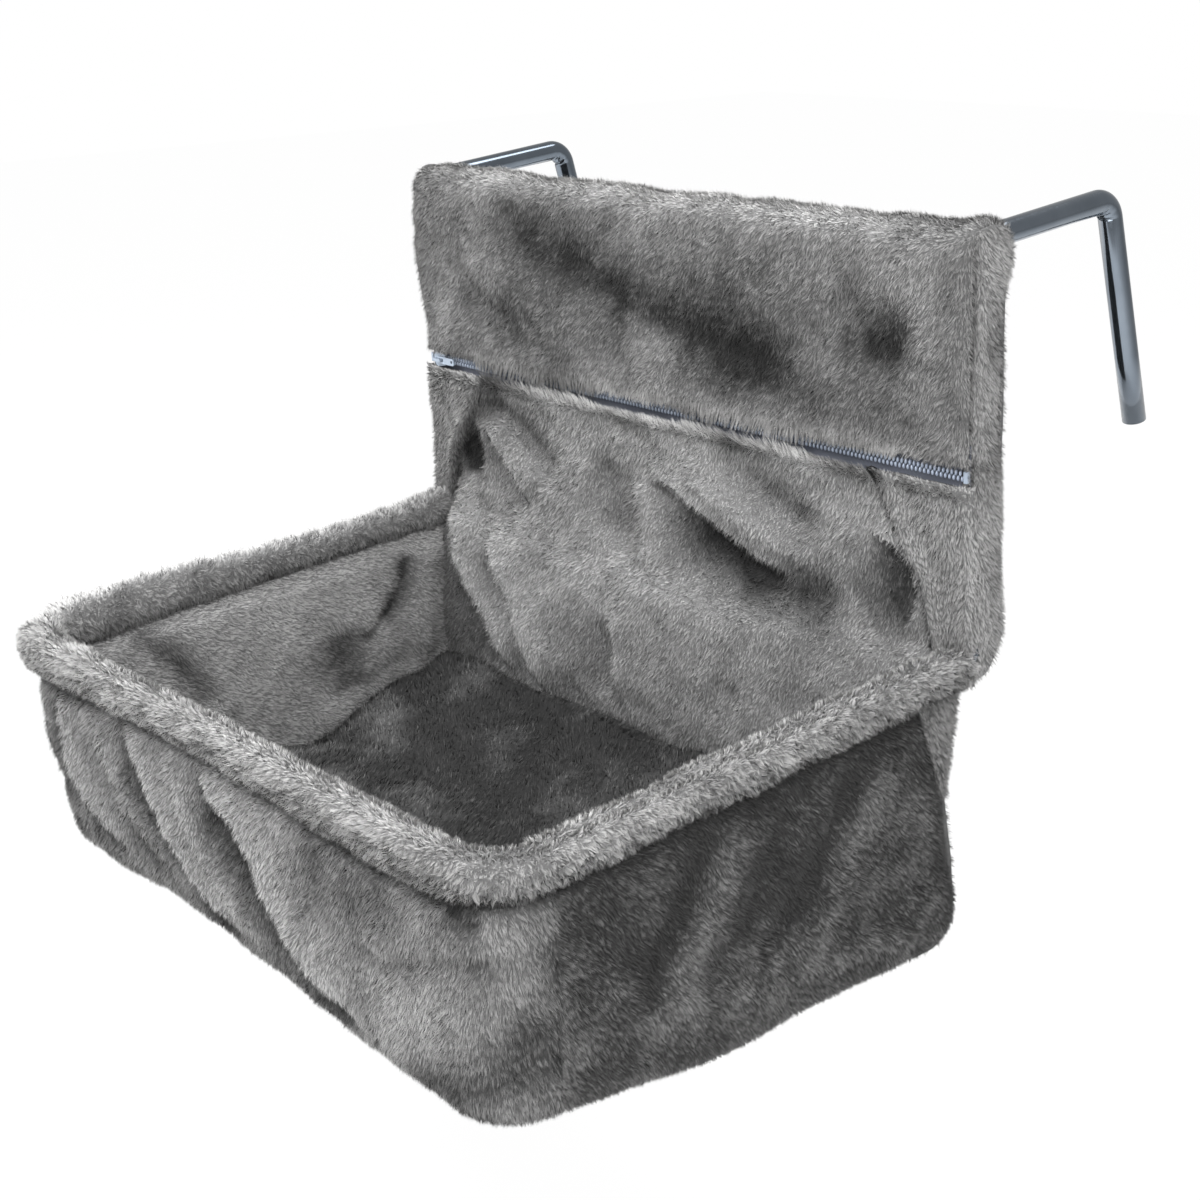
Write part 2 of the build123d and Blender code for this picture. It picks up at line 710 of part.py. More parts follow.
# Slider: two plates round the coils, joined by a thin post between them, with a bridge on top.
# In these sketches x runs along the zip and the height is measured out from the pocket's datum.
slider_x = -half_zip + slider_from_end
nose_x = slider_x - slider_length / 2
tail_x = slider_x + slider_length / 2
channel_half = half_chain + slider_clearance
plate_in = chain_thickness + slider_clearance
plate_out = plate_in + slider_plate
back_in = tape_thickness + slider_clearance
back_out = back_in + slider_plate
half_slider = slider_width / 2
slider_side = pocket_side.offset(slider_x)
with BuildPart() as zip_slider:
    with BuildSketch(pocket_face.offset(-back_out)):
        with BuildLine():
            Polyline(
                (nose_x, zip_height - half_slider + slider_nose),
                (nose_x + slider_nose, zip_height - half_slider),
                (slider_x, zip_height - half_slider),
                (tail_x, zip_height - channel_half - slider_clearance),
                (tail_x, zip_height + channel_half + slider_clearance),
                (slider_x, zip_height + half_slider),
                (nose_x + slider_nose, zip_height + half_slider),
                (nose_x, zip_height + half_slider - slider_nose),
                close=True,
            )
        make_face()
    extrude(amount=back_out + plate_out)
    with BuildSketch(slider_side):
        with Locations(((back_in - plate_in) / 2, zip_height)):
            Rectangle(plate_in + back_in, 2 * channel_half)
        with Locations(((back_in - slider_clearance) / 2, zip_height)):
            Rectangle(back_in + slider_clearance, slider_width + overrun)
    extrude(amount=slider_length, both=True, mode=Mode.SUBTRACT)
    with BuildSketch(pocket_face.offset(-back_in)):
        with Locations((nose_x + slider_post_length / 2, zip_height)):
            Rectangle(slider_post_length, slider_post_thickness)
    extrude(amount=back_in + plate_in)
    with BuildSketch(pocket_face.offset(plate_out)):
        for side in (-1, 1):
            with Locations((slider_x + side * (bridge_length - bridge_wire) / 2, zip_height)):
                Rectangle(bridge_wire, bridge_width)
    extrude(amount=bridge_gap)
    with BuildSketch(pocket_face.offset(plate_out + bridge_gap)):
        with Locations((slider_x, zip_height)):
            Rectangle(bridge_length, bridge_width)
    extrude(amount=bridge_wire)
finish(zip_slider.part, "zip_slider")

# Pull: a flat tab whose two arms straddle the bridge and hold a round bar under it
bar_radius = bridge_gap / 2 - slider_clearance
bar_height = plate_out + bridge_gap / 2
bar_foot = pocket_face.from_local_coords((slider_x, zip_height - pull_width / 2, bar_height))
with BuildPart() as zip_pull:
    with BuildSketch(pocket_face.offset(bar_height - pull_thickness / 2)):
        with Locations((slider_x + pull_length / 2, zip_height)):
            RectangleRounded(pull_length, pull_width, pull_width * pull_corner_share)
        with Locations((slider_x + pull_eye_length / 2, zip_height)):
            Rectangle(pull_eye_length, bridge_width + 2 * slider_clearance, mode=Mode.SUBTRACT)
        with Locations((slider_x + pull_length - pull_width / 2, zip_height)):
            Circle(pull_hole_diameter / 2, mode=Mode.SUBTRACT)
    extrude(amount=pull_thickness)
    with BuildSketch(Plane(origin=bar_foot, x_dir=(1, 0, 0), z_dir=slope(90 + upright_lean))):
        Circle(bar_radius)
    extrude(amount=pull_width)
finish(zip_pull.part, "zip_pull")
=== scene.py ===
# %% [markdown]
# # A radiator cat bed
# A plush basket hangs from a radiator on two bent steel tubes. The tubes run down inside the
# back rest and then forward inside the rim. Everything that is cloth is built here as curved
# panels that are sewn together at the same seams as the real cover, and then given a pile.

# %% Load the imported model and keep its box
import math

import bmesh
import bpy
import numpy as np
from mathutils import Matrix, Vector


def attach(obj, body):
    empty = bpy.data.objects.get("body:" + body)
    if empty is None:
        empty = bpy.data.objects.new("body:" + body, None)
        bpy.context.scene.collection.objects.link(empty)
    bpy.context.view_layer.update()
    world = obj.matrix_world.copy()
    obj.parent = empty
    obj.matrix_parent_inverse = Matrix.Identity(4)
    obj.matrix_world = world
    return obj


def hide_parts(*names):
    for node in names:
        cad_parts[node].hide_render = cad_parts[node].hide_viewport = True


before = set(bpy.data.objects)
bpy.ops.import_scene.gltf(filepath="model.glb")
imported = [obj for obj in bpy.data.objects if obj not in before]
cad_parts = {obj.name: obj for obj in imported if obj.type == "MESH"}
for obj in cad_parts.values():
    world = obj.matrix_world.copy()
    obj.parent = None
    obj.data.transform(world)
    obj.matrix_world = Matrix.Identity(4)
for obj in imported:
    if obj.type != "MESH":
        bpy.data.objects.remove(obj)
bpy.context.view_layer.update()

MM = 0.001

# %% [markdown]
# ## Small helpers
# Most things here start as a bmesh or as arrays of points. A few helpers put them into the
# scene, read arrays back and hide the imported nodes that a finished piece stands for.

# %% Objects and arrays
def add_object(name, data):
    thing = bpy.data.objects.new(name, data)
    bpy.context.scene.collection.objects.link(thing)
    return thing


def add_mesh(name, bm, material, scale=1.0):
    """Object with smooth faces, made of a bmesh."""
    bmesh.ops.scale(bm, verts=bm.verts, vec=(scale, scale, scale))
    for face in bm.faces:
        face.smooth = True
    mesh = bpy.data.meshes.new(name)
    bm.to_mesh(mesh)
    bm.free()
    mesh.materials.append(material)
    return add_object(name, mesh)


def read(items, name, width=3, kind=float):
    """One property of all items of a mesh, as the rows of an array."""
    values = np.empty(len(items) * width, kind)
    items.foreach_get(name, values)
    return values.reshape(-1, width)


def stand_for(piece, nodes):
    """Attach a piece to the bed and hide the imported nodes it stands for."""
    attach(piece, "bed")
    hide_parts(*nodes)


# %% [markdown]
# ## Places on the bed
# Seams are easier to state in the bed's own directions than in world coordinates. The rim lies
# in one tilted plane and the pocket of the back rest stands along the uprights, so two small
# functions turn sizes in those planes into points. They work on arrays, in millimetres.

# %% Directions and places
def slope(angle):
    """Direction in the side view that rises by an angle towards the wall."""
    return np.array([0.0, math.cos(math.radians(angle)), math.sin(math.radians(angle))])


across = np.array([1.0, 0.0, 0.0])
half_frame = 209.0
rim_corner = np.array([0.0, -39.4, -203.5])
rim_back = slope(4.4)
rim_up = slope(94.4)
pocket_foot = np.array([0.0, -54.4, -204.1])
pocket_up = slope(92.4)
pocket_out = -slope(2.4)


def spot(origin, x, along, a, away, b):
    """Points from an origin, a distance across and two distances in the side view."""
    x, a, b = np.broadcast_arrays(x, a, b)
    return origin + x[..., None] * across + a[..., None] * along + b[..., None] * away


def on_rim(x, back, up):
    return spot(rim_corner, x, rim_back, back, rim_up, up)


def on_pocket(x, up, out):
    return spot(pocket_foot, x, pocket_up, up, pocket_out, out)


def ease(value):
    """Smooth step from 0 to 1."""
    value = np.clip(value, 0.0, 1.0)
    return value * value * (3.0 - 2.0 * value)


def hill(value, centre, width, power=2):
    """Soft hill from 0 to 1 round a centre; a higher power gives it a flatter top."""
    return np.exp(-(((value - centre) / width) ** power))


def arch(share, power=0.5):
    """Rises from 0 at both ends of a share to 1 in its middle."""
    return np.sin(math.pi * np.clip(share, 0, 1)) ** power


def curl(share, full=0.98):
    """How far an edge has turned away, over the share of its rounding."""
    return 1 - np.sqrt(1 - full * share**2)


def between(a, b, share):
    return a + (b - a) * share


# %% [markdown]
# ## Camera
# The photograph was taken from the front right and a little above, with a long lens. The three
# angles and the place of the camera come from a fit to the straight edges of the frame.

# %% Camera at the photograph's place
camera_place = Vector((0.8025, -0.7791, 0.1353))
yaw, pitch, roll = (math.radians(a) for a in (50.09, 18.15, -1.49))
focal_length, photo_width = 2012.3, 1200  # pixels of the photograph
backward = Vector(
    (math.sin(yaw) * math.cos(pitch), -math.cos(yaw) * math.cos(pitch), math.sin(pitch))
)
rightward = Vector((0, 0, 1)).cross(backward).normalized()
turned_right = math.cos(roll) * rightward + math.sin(roll) * backward.cross(rightward)
turned_up = backward.cross(turned_right)

camera_data = bpy.data.cameras.new("camera")
camera_data.sensor_width = 36.0
camera_data.lens = focal_length / photo_width * camera_data.sensor_width
camera = add_object("camera", camera_data)
turn = Matrix((turned_right, turned_up, backward)).transposed()
camera.matrix_world = Matrix.Translation(camera_place) @ turn.to_4x4()
bpy.context.scene.camera = camera
print("lens:", round(camera_data.lens, 2), "mm")

# %% [markdown]
# ## Writing materials as expressions
# A node tree is easier to read as sums than as wires. One small class wraps an output socket
# and gives it Python's operators, and another adds nodes to a material or a world.

# %% Sockets with operators
class Flow:
    """A value that flows out of a node."""

    def __init__(self, nodes, socket):
        self.nodes = nodes
        self.socket = socket

    def math(self, operation, *others):
        inputs = dict(enumerate((self,) + others))
        return self.nodes.add("ShaderNodeMath", inputs, operation=operation)

    def __add__(self, other):
        return self.math("ADD", other)

    __radd__ = __add__

    def __sub__(self, other):
        return self.math("SUBTRACT", other)

    def __mul__(self, other):
        return self.math("MULTIPLY", other)

    def held(self):
        """The same value kept between 0 and 1."""
        value = self.math("ADD", 0.0)
        value.socket.node.use_clamp = True
        return value


# %% Nodes of a material or a world
class Nodes:
    """Nodes that are added by calls to the tree of a material or a world."""

    def __init__(self, owner):
        owner.use_nodes = True
        self.owner = owner
        self.tree = owner.node_tree
        self.tree.nodes.clear()

    def add(self, kind, inputs=None, output=0, **settings):
        """A node with settings and inputs, as the flow out of one of its outputs."""
        node = self.tree.nodes.new(kind)
        for key, value in settings.items():
            setattr(node, key, value)
        for key, value in (inputs or {}).items():
            if isinstance(value, Flow):
                self.tree.links.new(value.socket, node.inputs[key])
            else:
                node.inputs[key].default_value = value
        return Flow(self, node.outputs[output])

    def place(self):
        return self.add("ShaderNodeTexCoord", output="Object")

    def noise(self, scale, detail=3.0, roughness=0.55, distortion=0.0):
        """Noise from 0 to 1, its scale in features per metre."""
        inputs = {"Vector": self.place(), "Scale": scale, "Detail": detail}
        inputs |= {"Roughness": roughness, "Distortion": distortion}
        return self.add("ShaderNodeTexNoise", inputs)

    def wave(self, direction, scale):
        inputs = {"Vector": self.place(), "Scale": scale}
        return self.add("ShaderNodeTexWave", inputs, bands_direction=direction)

    def attribute(self, name):
        return self.add("ShaderNodeAttribute", output="Fac", attribute_name=name)

    def colour(self, share, low, high):
        """Colour between two colours or flows of colour."""
        return self.add("ShaderNodeMix", {0: share, 6: low, 7: high}, 2, data_type="RGBA")

    def bump(self, height, strength, distance):
        inputs = {"Height": height, "Strength": strength, "Distance": distance}
        return self.add("ShaderNodeBump", inputs)

    def shade(self, **inputs):
        """Principled surface, with socket names written with underscores."""
        named = {key.replace("_", " "): value for key, value in inputs.items()}
        return self.end(self.add("ShaderNodeBsdfPrincipled", named))

    def end(self, surface, kind="ShaderNodeOutputMaterial"):
        """Finish the tree with a surface and give back its owner."""
        output = self.tree.nodes.new(kind)
        self.tree.links.new(surface.socket, output.inputs["Surface"])
        return self.owner


def material(name):
    return Nodes(bpy.data.materials.new(name))


def grey(value, warm=0.0):
    return (value * (1 + warm), value, value * (1 - warm), 1.0)


# %% [markdown]
# ## Plush
# Plush is a knitted back with a dense short pile. Where the pile has been stroked towards the
# eye it looks dark, and where it lies away it looks light, so the cloth is patchy. The pile
# is real geometry here: thin blades, light at the tip and dark at the root as painted shade,
# over a knitted back painted darker as the shade under the pile. Each panel carries a tone
# with painted shade in its hollows and creases, painted light on its crests, and its brushed
# places; noise adds the smaller patches.

# %% Plush materials
plush_dark = grey(0.045, 0.01)
plush_light = grey(0.70, 0.008)


def plush_tone(finish):
    """Tone of the brushed cloth: the panel's own tone with patches of several sizes."""
    patch = 0.30
    broad = finish.noise(14.0, 2.0, 0.5, distortion=0.8)
    fine = finish.noise(48.0, 3.0, 0.6, distortion=0.5)
    grain = finish.noise(600.0, 2.0, 0.6)
    patches = (broad - 0.5) * patch * 1.5 + (fine - 0.5) * patch * 1.6
    patches = patches + (grain - 0.5) * patch * 1.1
    return (finish.attribute("tone") + patches).held()


def make_plush_back():
    finish = material("plush_back")
    loops = finish.noise(900.0, 2.0, 0.6)
    return finish.shade(
        # The knitted back is painted darker than the pile: painted shade under the pile.
        Base_Color=finish.colour(plush_tone(finish), grey(0.02), grey(0.17)),
        Roughness=0.95,
        Specular_IOR_Level=0.05,
        Normal=finish.bump(loops, 0.6, 0.001),
    )


def make_plush_pile():
    finish = material("plush_pile")
    tone = plush_tone(finish)
    fibre = finish.attribute("fibre")
    rise = finish.attribute("rise")
    tip = finish.colour((tone + (fibre - 0.5) * 0.14).held(), plush_dark, plush_light)
    # Painted shade: the roots are darker, as the pile shades its own roots.
    root = finish.colour(tone, grey(0.018), grey(0.26))
    return finish.shade(
        Base_Color=finish.colour((rise * 1.25 - 0.05).held(), root, tip),
        Roughness=0.8,
        Sheen_Weight=0.04,
        Sheen_Roughness=0.4,
        Specular_IOR_Level=0.08,
    )


plush_back = make_plush_back()
plush_pile = make_plush_pile()

# %% [markdown]
# ## Other finishes
# The tube is bright steel with a cool tint and faint drawing lines along it. The base cloth is a
# smooth dark weave. The zip has a woven grey-blue tape, darkened as painted shade of the slot it
# lies in, moulded coils and a painted slider.

# %% Steel and woven cloth
def make_steel():
    finish = material("bright_steel")
    lines = finish.noise(500.0, 2.0, 0.5)
    smudge = finish.noise(40.0, 3.0, 0.6)
    return finish.shade(
        Base_Color=finish.colour(smudge, (0.10, 0.118, 0.14, 1), (0.17, 0.195, 0.225, 1)),
        Metallic=1.0,
        Roughness=0.14 + (smudge - 0.5) * 0.08,
        Normal=finish.bump(lines, 0.02, 0.0002),
    )


def make_base_cloth():
    finish = material("base_weave")
    weave = finish.wave("X", 260.0) * finish.wave("Y", 260.0)
    return finish.shade(
        Base_Color=finish.colour(finish.noise(30.0), grey(0.018), grey(0.04)),
        Roughness=0.8,
        Normal=finish.bump(weave, 0.3, 0.0004),
    )


def make_zip_tape():
    finish = material("shaded_zip_tape")
    ribs = finish.wave("X", 520.0) + finish.wave("Z", 420.0)
    # Very dark grey-blue: painted shade of the slot the tape lies in.
    low, high = (0.05, 0.055, 0.07, 1), (0.09, 0.098, 0.125, 1)
    return finish.shade(
        Base_Color=finish.colour(finish.noise(60.0), low, high),
        Roughness=0.75,
        Normal=finish.bump(ribs, 0.35, 0.0002),
    )


# %% Board, coils and slider
def make_worn(name, noise, low, high, relief, roughness, uneven=0.0, **inputs):
    """Finish whose colour and relief follow one noise, and its roughness where it is uneven."""
    finish = material(name)
    wear = finish.noise(*noise)
    return finish.shade(
        Base_Color=finish.colour(wear, low, high),
        Roughness=roughness + wear * uneven if uneven else roughness,
        Normal=finish.bump(wear, *relief),
        **inputs,
    )


steel = make_steel()
base_weave = make_base_cloth()
shaded_zip_tape = make_zip_tape()
hardboard = make_worn(
    "hardboard", (350.0, 4.0, 0.7), (0.16, 0.10, 0.055, 1), (0.30, 0.20, 0.12, 1),
    (0.15, 0.0004), 0.7,
)
zip_coil_plastic = make_worn(
    "zip_coil_plastic", (90.0, 3.0), (0.20, 0.235, 0.30, 1), (0.34, 0.385, 0.47, 1),
    (0.05, 0.0002), 0.38, Coat_Weight=0.1,
)
painted_zip_metal = make_worn(
    "painted_zip_metal", (160.0, 4.0), (0.24, 0.29, 0.36, 1), (0.40, 0.46, 0.54, 1),
    (0.04, 0.0002), 0.3, 0.15, Metallic=0.35,
)

# %% [markdown]
# ## Steel frame
# The side tubes show most: the hooks are bright, bent tightly, and crushed into small wrinkles
# inside the bend. A ring of points is pushed along the straight runs and spun round each bend,
# and then the inside of the hook bend is rippled. The tubes under the cover keep their packed
# meshes and only get the steel.

# %% Corners and crushed bends
def side_point(place):
    return Vector((0.0, place[0], place[1]))


tube_corners = [
    side_point(p) for p in ((76.2, -104.2), (44.0, 10.3), (-48.0, 1.3), (-39.4, -203.5))
]
rail_length = 175
rail_joint = side_point(rim_corner[1:] - rail_length * rim_back[1:])
bend_radii = (11.0, 14.0, 25.0)
tube_radius = 6.0
tube_wall = 1.0
crush_reach = 10.5  # from the hook bend's centre
crush_depth = 0.55


def crush(bm, centre, side):
    """Short ripples inside a bend, that die out round the tube."""
    for vert in bm.verts:
        arm = vert.co - centre
        arm.x = 0
        if arm.length < crush_reach:
            ripple = math.sin(math.atan2(arm.z, arm.y) * 14.0 + vert.co.x * side * 0.6)
            depth = crush_depth * (1 - arm.length / crush_reach) ** 0.5 * ripple
            vert.co += arm.normalized() * depth


# %% Side tubes
def make_side_tube(side, name):
    bm = bmesh.new()
    corners = [c + Vector((side * half_frame, 0, 0)) for c in tube_corners + [rail_joint]]
    heading = (corners[1] - corners[0]).normalized()
    start = Matrix.Translation(corners[0]) @ heading.to_track_quat("Z", "Y").to_matrix().to_4x4()
    bmesh.ops.create_circle(bm, segments=40, radius=tube_radius, matrix=start)
    ring = list(bm.edges)
    here = corners[0].copy()
    bend_centres = []

    def push(distance, steps):
        nonlocal ring, here
        for _ in range(steps):
            grown = bmesh.ops.extrude_edge_only(bm, edges=ring)["geom"]
            points = [g for g in grown if isinstance(g, bmesh.types.BMVert)]
            bmesh.ops.translate(bm, verts=points, vec=heading * distance / steps)
            ring = [g for g in grown if isinstance(g, bmesh.types.BMEdge)]
        here = here + heading * distance

    for corner, following, radius in zip(corners[1:], corners[2:], bend_radii):
        turned = (following - corner).normalized()
        angle = heading.angle(turned)
        setback = radius * math.tan(angle / 2)
        push((corner - here).length - setback, 3)
        inward = (turned - heading * heading.dot(turned)).normalized()
        centre = here + inward * radius
        bend_centres.append(centre)
        steps = 28 if radius < 20 else 14
        spun = bmesh.ops.spin(
            bm, geom=ring, cent=centre, axis=heading.cross(inward), angle=angle, steps=steps
        )["geom_last"]
        ring = [g for g in spun if isinstance(g, bmesh.types.BMEdge)]
        here = corner + turned * setback
        heading = turned
    push((corners[-1] - here).length, 4)

    crush(bm, bend_centres[0], side)
    bmesh.ops.recalc_face_normals(bm, faces=bm.faces)
    tube = add_mesh(name, bm, steel, MM)
    wall = tube.modifiers.new("wall", "SOLIDIFY")
    wall.thickness = tube_wall * MM
    wall.offset = -1.0
    print(name, "faces:", len(tube.data.polygons))
    return tube


for side, hand in ((-1, "left"), (1, "right")):
    tube = make_side_tube(side, f"{hand}_bent_tube")
    stand_for(tube, [f"{hand}_side_tube"])


def give(node, material):
    """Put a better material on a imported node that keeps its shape."""
    for slot in bpy.data.objects[node].material_slots:
        slot.material = material


for node in ("front_rim_tube", "top_cross_tube", "rear_cross_tube"):
    give(node, steel)

# %% [markdown]
# ## Cloth panels
# A panel starts as a flat grid, like the cut piece of cloth, and each of its points is then
# put where it hangs. Folds are crests and hollows along lines that were read off the cloth. A
# crest's two sides may differ, as on a real fold that leans over. The panel gets its
# thickness from Solidify, and each point keeps a tone for the pile.

# %% Cloth helpers
def across_line(u, v, line, fade):
    """Distance from a line of places, positive on its left, and a share that fades at its ends."""
    line = [np.array(p, float) for p in line]
    lengths = [np.linalg.norm(b - a) for a, b in zip(line, line[1:])]
    total = sum(lengths)
    nearest = np.full(u.shape, 1e9)
    along = np.zeros(u.shape)
    flank = np.ones(u.shape)
    done = 0.0
    for a, b, length in zip(line, line[1:], lengths):
        way = (b - a) / length
        run = np.clip((u - a[0]) * way[0] + (v - a[1]) * way[1], 0, length)
        du = u - (a[0] + way[0] * run)
        dv = v - (a[1] + way[1] * run)
        distance = np.hypot(du, dv)
        closer = distance < nearest
        nearest = np.where(closer, distance, nearest)
        along = np.where(closer, done + run, along)
        flank = np.where(closer, way[0] * dv - way[1] * du, flank)
        done += length
    ends = ease(along / (fade * total)) * ease((total - along) / (fade * total))
    return nearest * np.sign(flank), ends


def fold(u, v, line, height, before, after, fade=0.18):
    """Crest along a line of places, with a width on each of its sides."""
    signed, ends = across_line(u, v, line, fade)
    width = np.where(signed > 0, before, after)
    return height * ends / (1.0 + (signed / width) ** 2)


def pleat(u, v, line, height, lip, hollow, edge, fade=0.2):
    """Lip of cloth on the left of a line, over a hollow on its right that rises slowly."""
    signed, ends = across_line(u, v, line, fade)
    left, right = np.maximum(signed, 0), np.maximum(-signed, 0)
    near = hill(right, 0, edge)
    under = 0.8 * (1 - near) * np.exp(-right / hollow)
    return height * ends * (0.5 * np.exp(-left / lip) * near - under)


def folds(u, v, rows):
    return sum(fold(u, v, *row) for row in rows)


def pleats(u, v, rows, edge=3.2):
    return sum(pleat(u, v, *row, edge) for row in rows)


def wobble(points, size, seed):
    """Gentle unevenness from about -1 to 1, made of a few fixed waves."""
    draw = np.random.default_rng(seed)
    total = np.zeros(points.shape[:-1])
    for _ in range(8):
        way = draw.normal(size=3)
        way *= 2 * math.pi / size * draw.uniform(0.6, 1.6) / np.linalg.norm(way)
        total += np.sin(points @ way + draw.uniform(0, 2 * math.pi))
    return total / 2.8


# %% A panel of cloth
tone_range = (-0.35, 1.3)
weld = 0.02 * MM


def turn_faces(bm, facing):
    """Make the faces agree, and look along a direction where one is given."""
    if facing is None:
        bmesh.ops.recalc_face_normals(bm, faces=bm.faces)
        return
    total = sum((f.normal * f.calc_area() for f in bm.faces), Vector())
    if total.dot(Vector(facing)) < 0:
        bmesh.ops.reverse_faces(bm, faces=bm.faces)


def cloth(name, columns, rows, place, shade, facing=None, thickness=3.0, closed=False):
    """Panel from a flat grid: place and shade take the shares across and down the cut."""
    bm = bmesh.new()
    bmesh.ops.create_grid(bm, x_segments=columns, y_segments=rows, size=0.5)
    mesh = bpy.data.meshes.new(name)
    bm.to_mesh(mesh)
    bm.free()
    s, t = read(mesh.vertices, "co")[:, :2].T + 0.5
    points = place(s, t)
    mesh.vertices.foreach_set("co", (points * MM).ravel())
    tone = mesh.attributes.new("tone", "FLOAT", "POINT")
    tones = np.clip(shade(s, t, points), *tone_range) + np.zeros(len(s))
    tone.data.foreach_set("value", tones)
    mesh.update()
    bm = bmesh.new()
    bm.from_mesh(mesh)
    if closed:
        bmesh.ops.remove_doubles(bm, verts=bm.verts, dist=weld)
    turn_faces(bm, facing)
    for face in bm.faces:
        face.smooth = True
    bm.to_mesh(mesh)
    bm.free()
    mesh.materials.append(plush_back)
    panel = add_object(name, mesh)
    if thickness:
        back = panel.modifiers.new("back", "SOLIDIFY")
        back.thickness = thickness * MM
        back.offset = -1.0
    print(name, "faces:", len(mesh.polygons))
    return panel


# %% [markdown]
# ## Pile
# The pile is planted on a finished panel: blades of one triangle each, spread by area, that
# lean with the nap and bunch into small locks. No mesh operator plants a hundred thousand
# blades in a reasonable time, so arrays do it. The blades borrow the panel's own normals,
# which gives the soft shading of a dense pile instead of a glitter of tiny faces.

# %% Pile helper
def unit(vectors):
    return vectors / np.maximum(np.linalg.norm(vectors, axis=-1, keepdims=True), 1e-9)


def off_normal(vectors, out):
    """The part of some vectors that lies along the cloth."""
    return vectors - out * np.sum(vectors * out, axis=1, keepdims=True)


def drift(points, size, seed):
    """Unevenness that pushes each point in its own direction."""
    return np.stack([wobble(points, size, seed + i) for i in range(3)], -1)


def scatter(mesh, count, draw, share):
    """Random places on a mesh, with the cloth's normals and tones there."""
    mesh.calc_loop_triangles()
    corners = read(mesh.loop_triangles, "vertices", kind=np.int32)
    places = read(mesh.vertices, "co") / MM
    normals = read(mesh.vertex_normals, "vector")
    tones = read(mesh.attributes["tone"].data, "value", 1)
    a, b, c = (places[corners[:, i]] for i in range(3))
    areas = np.linalg.norm(np.cross(b - a, c - a), axis=1)
    if share is not None:
        areas = areas * share(a)
    picked = corners[draw.choice(len(corners), count, p=areas / areas.sum())]
    u, v = draw.random((2, count, 1))
    over = u + v > 1
    u, v = np.where(over, 1 - u, u), np.where(over, 1 - v, v)

    def spread(values):
        a, b, c = (values[picked[:, i]] for i in range(3))
        return a * (1 - u - v) + b * u + c * v

    return spread(places), unit(spread(normals)), spread(tones)[:, 0]


# %% Blades as one mesh
def make_blades(name, points, values, shading):
    """Mesh of loose triangles with their shares of colour and their shading normals."""
    count = len(points) // 3
    blades = bpy.data.meshes.new(name)
    blades.vertices.add(3 * count)
    blades.loops.add(3 * count)
    blades.polygons.add(count)
    blades.vertices.foreach_set("co", (points * MM).ravel())
    blades.loops.foreach_set("vertex_index", np.arange(3 * count, dtype=np.int32))
    blades.polygons.foreach_set("loop_start", np.arange(0, 3 * count, 3, dtype=np.int32))
    blades.update(calc_edges=True)
    for key, value in values.items():
        blades.attributes.new(key, "FLOAT", "POINT").data.foreach_set("value", value)
    blades.polygons.foreach_set("use_smooth", np.ones(count, bool))
    blades.normals_split_custom_set_from_vertices(np.repeat(shading, 3, axis=0))
    blades.materials.append(plush_pile)
    return add_object(name, blades)


# %% Planting
# How much locks, swirls, cells and chance turn a blade away from the nap
lock_pull, swirl_pull, cell_pull, stray_pull = 0.14, 0.22, 0.28, 0.10
cell_mix = np.array([[12.9, 78.2, 37.7], [39.3, 11.1, 83.1], [73.2, 52.2, 9.7]])


def plant_pile(panel, count, nap, length=3.4, width=0.34, lean=1.2, seed=1, lock=6.0,
               soft=0.8, bunch=2.7, share=None, kind="pile", shaded=0.0):
    """Blades over a panel, or over its share. The nap may be a function of the roots."""
    draw = np.random.default_rng(seed)
    root, out, tone = scatter(panel.data, count, draw, share)
    stroke = nap(root) if callable(nap) else np.broadcast_to(np.array(nap, float), root.shape)

    # Blades lean towards the middle of small cells, bent so that no grid shows
    bend = drift(root, 8.0, seed + 1) * 1.5
    cell = np.floor((root + bend) / bunch)
    jitter = np.sin(cell @ cell_mix)
    gather = (cell + 0.5 + 0.35 * jitter) * bunch - bend - root
    stray = draw.normal(size=root.shape) * stray_pull
    gather = off_normal(gather, out)
    hollow = np.linalg.norm(gather, axis=1) / bunch - 0.42
    # Painted shade: blades in the gaps between locks are darker, and shaded darkens a pile that
    # lies in shade.
    tone = tone - shaded + 0.07 * jitter[:, 0] - 0.28 * hollow
    locks, swirl = drift(root, lock, seed + 11), drift(root, lock * 4.5, seed + 21)
    sweep = stroke * lean + locks * lock_pull + swirl * swirl_pull + gather * cell_pull + stray
    way = unit(out + off_normal(sweep, out))

    lengths = length(root) if callable(length) else length
    uneven = 1 + 0.12 * wobble(root, lock * 1.6, seed + 31)
    lengths = lengths * draw.uniform(0.65, 1.1, count) * uneven
    tip = root + way * lengths[:, None]
    flank = unit(np.cross(way, out) + draw.normal(size=root.shape) * 0.45)
    widths = width * draw.uniform(0.7, 1.3, count)[:, None] / 2
    root = root - out * 0.5
    points = np.stack([root - flank * widths, root + flank * widths, tip], 1).reshape(-1, 3)
    values = {
        "tone": np.repeat(tone, 3),
        "rise": np.tile([0.0, 0.0, 1.0], count),
        "fibre": np.repeat(draw.random(count), 3),
    }
    shading = unit(out * soft + way * 0.25 + draw.normal(size=out.shape) * 0.12)
    piece = make_blades(f"{panel.name}_{kind}", points, values, shading)
    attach(piece, "bed")
    print(piece.name, "blades:", count)
    return piece


def sew(panel, nodes):
    """Attach a finished plush panel to the bed and hide the nodes it stands for."""
    stand_for(panel, nodes)


# %% [markdown]
# ## Rim roll
# The rim is a tunnel of plush round the tube, closed by a stitch line under it. Its section is
# a drop: round above and drawn to the stitch line below, with a shallow groove on top where
# the lining meets the outer cloth. The section is swept round the rim in three pieces, as sewn.

# %% The rim's outline
corner_radius = 28.0
front_straight = half_frame - corner_radius
corner_run = corner_radius * math.pi / 2
corner_end = front_straight + corner_run
rim_front = -306.0


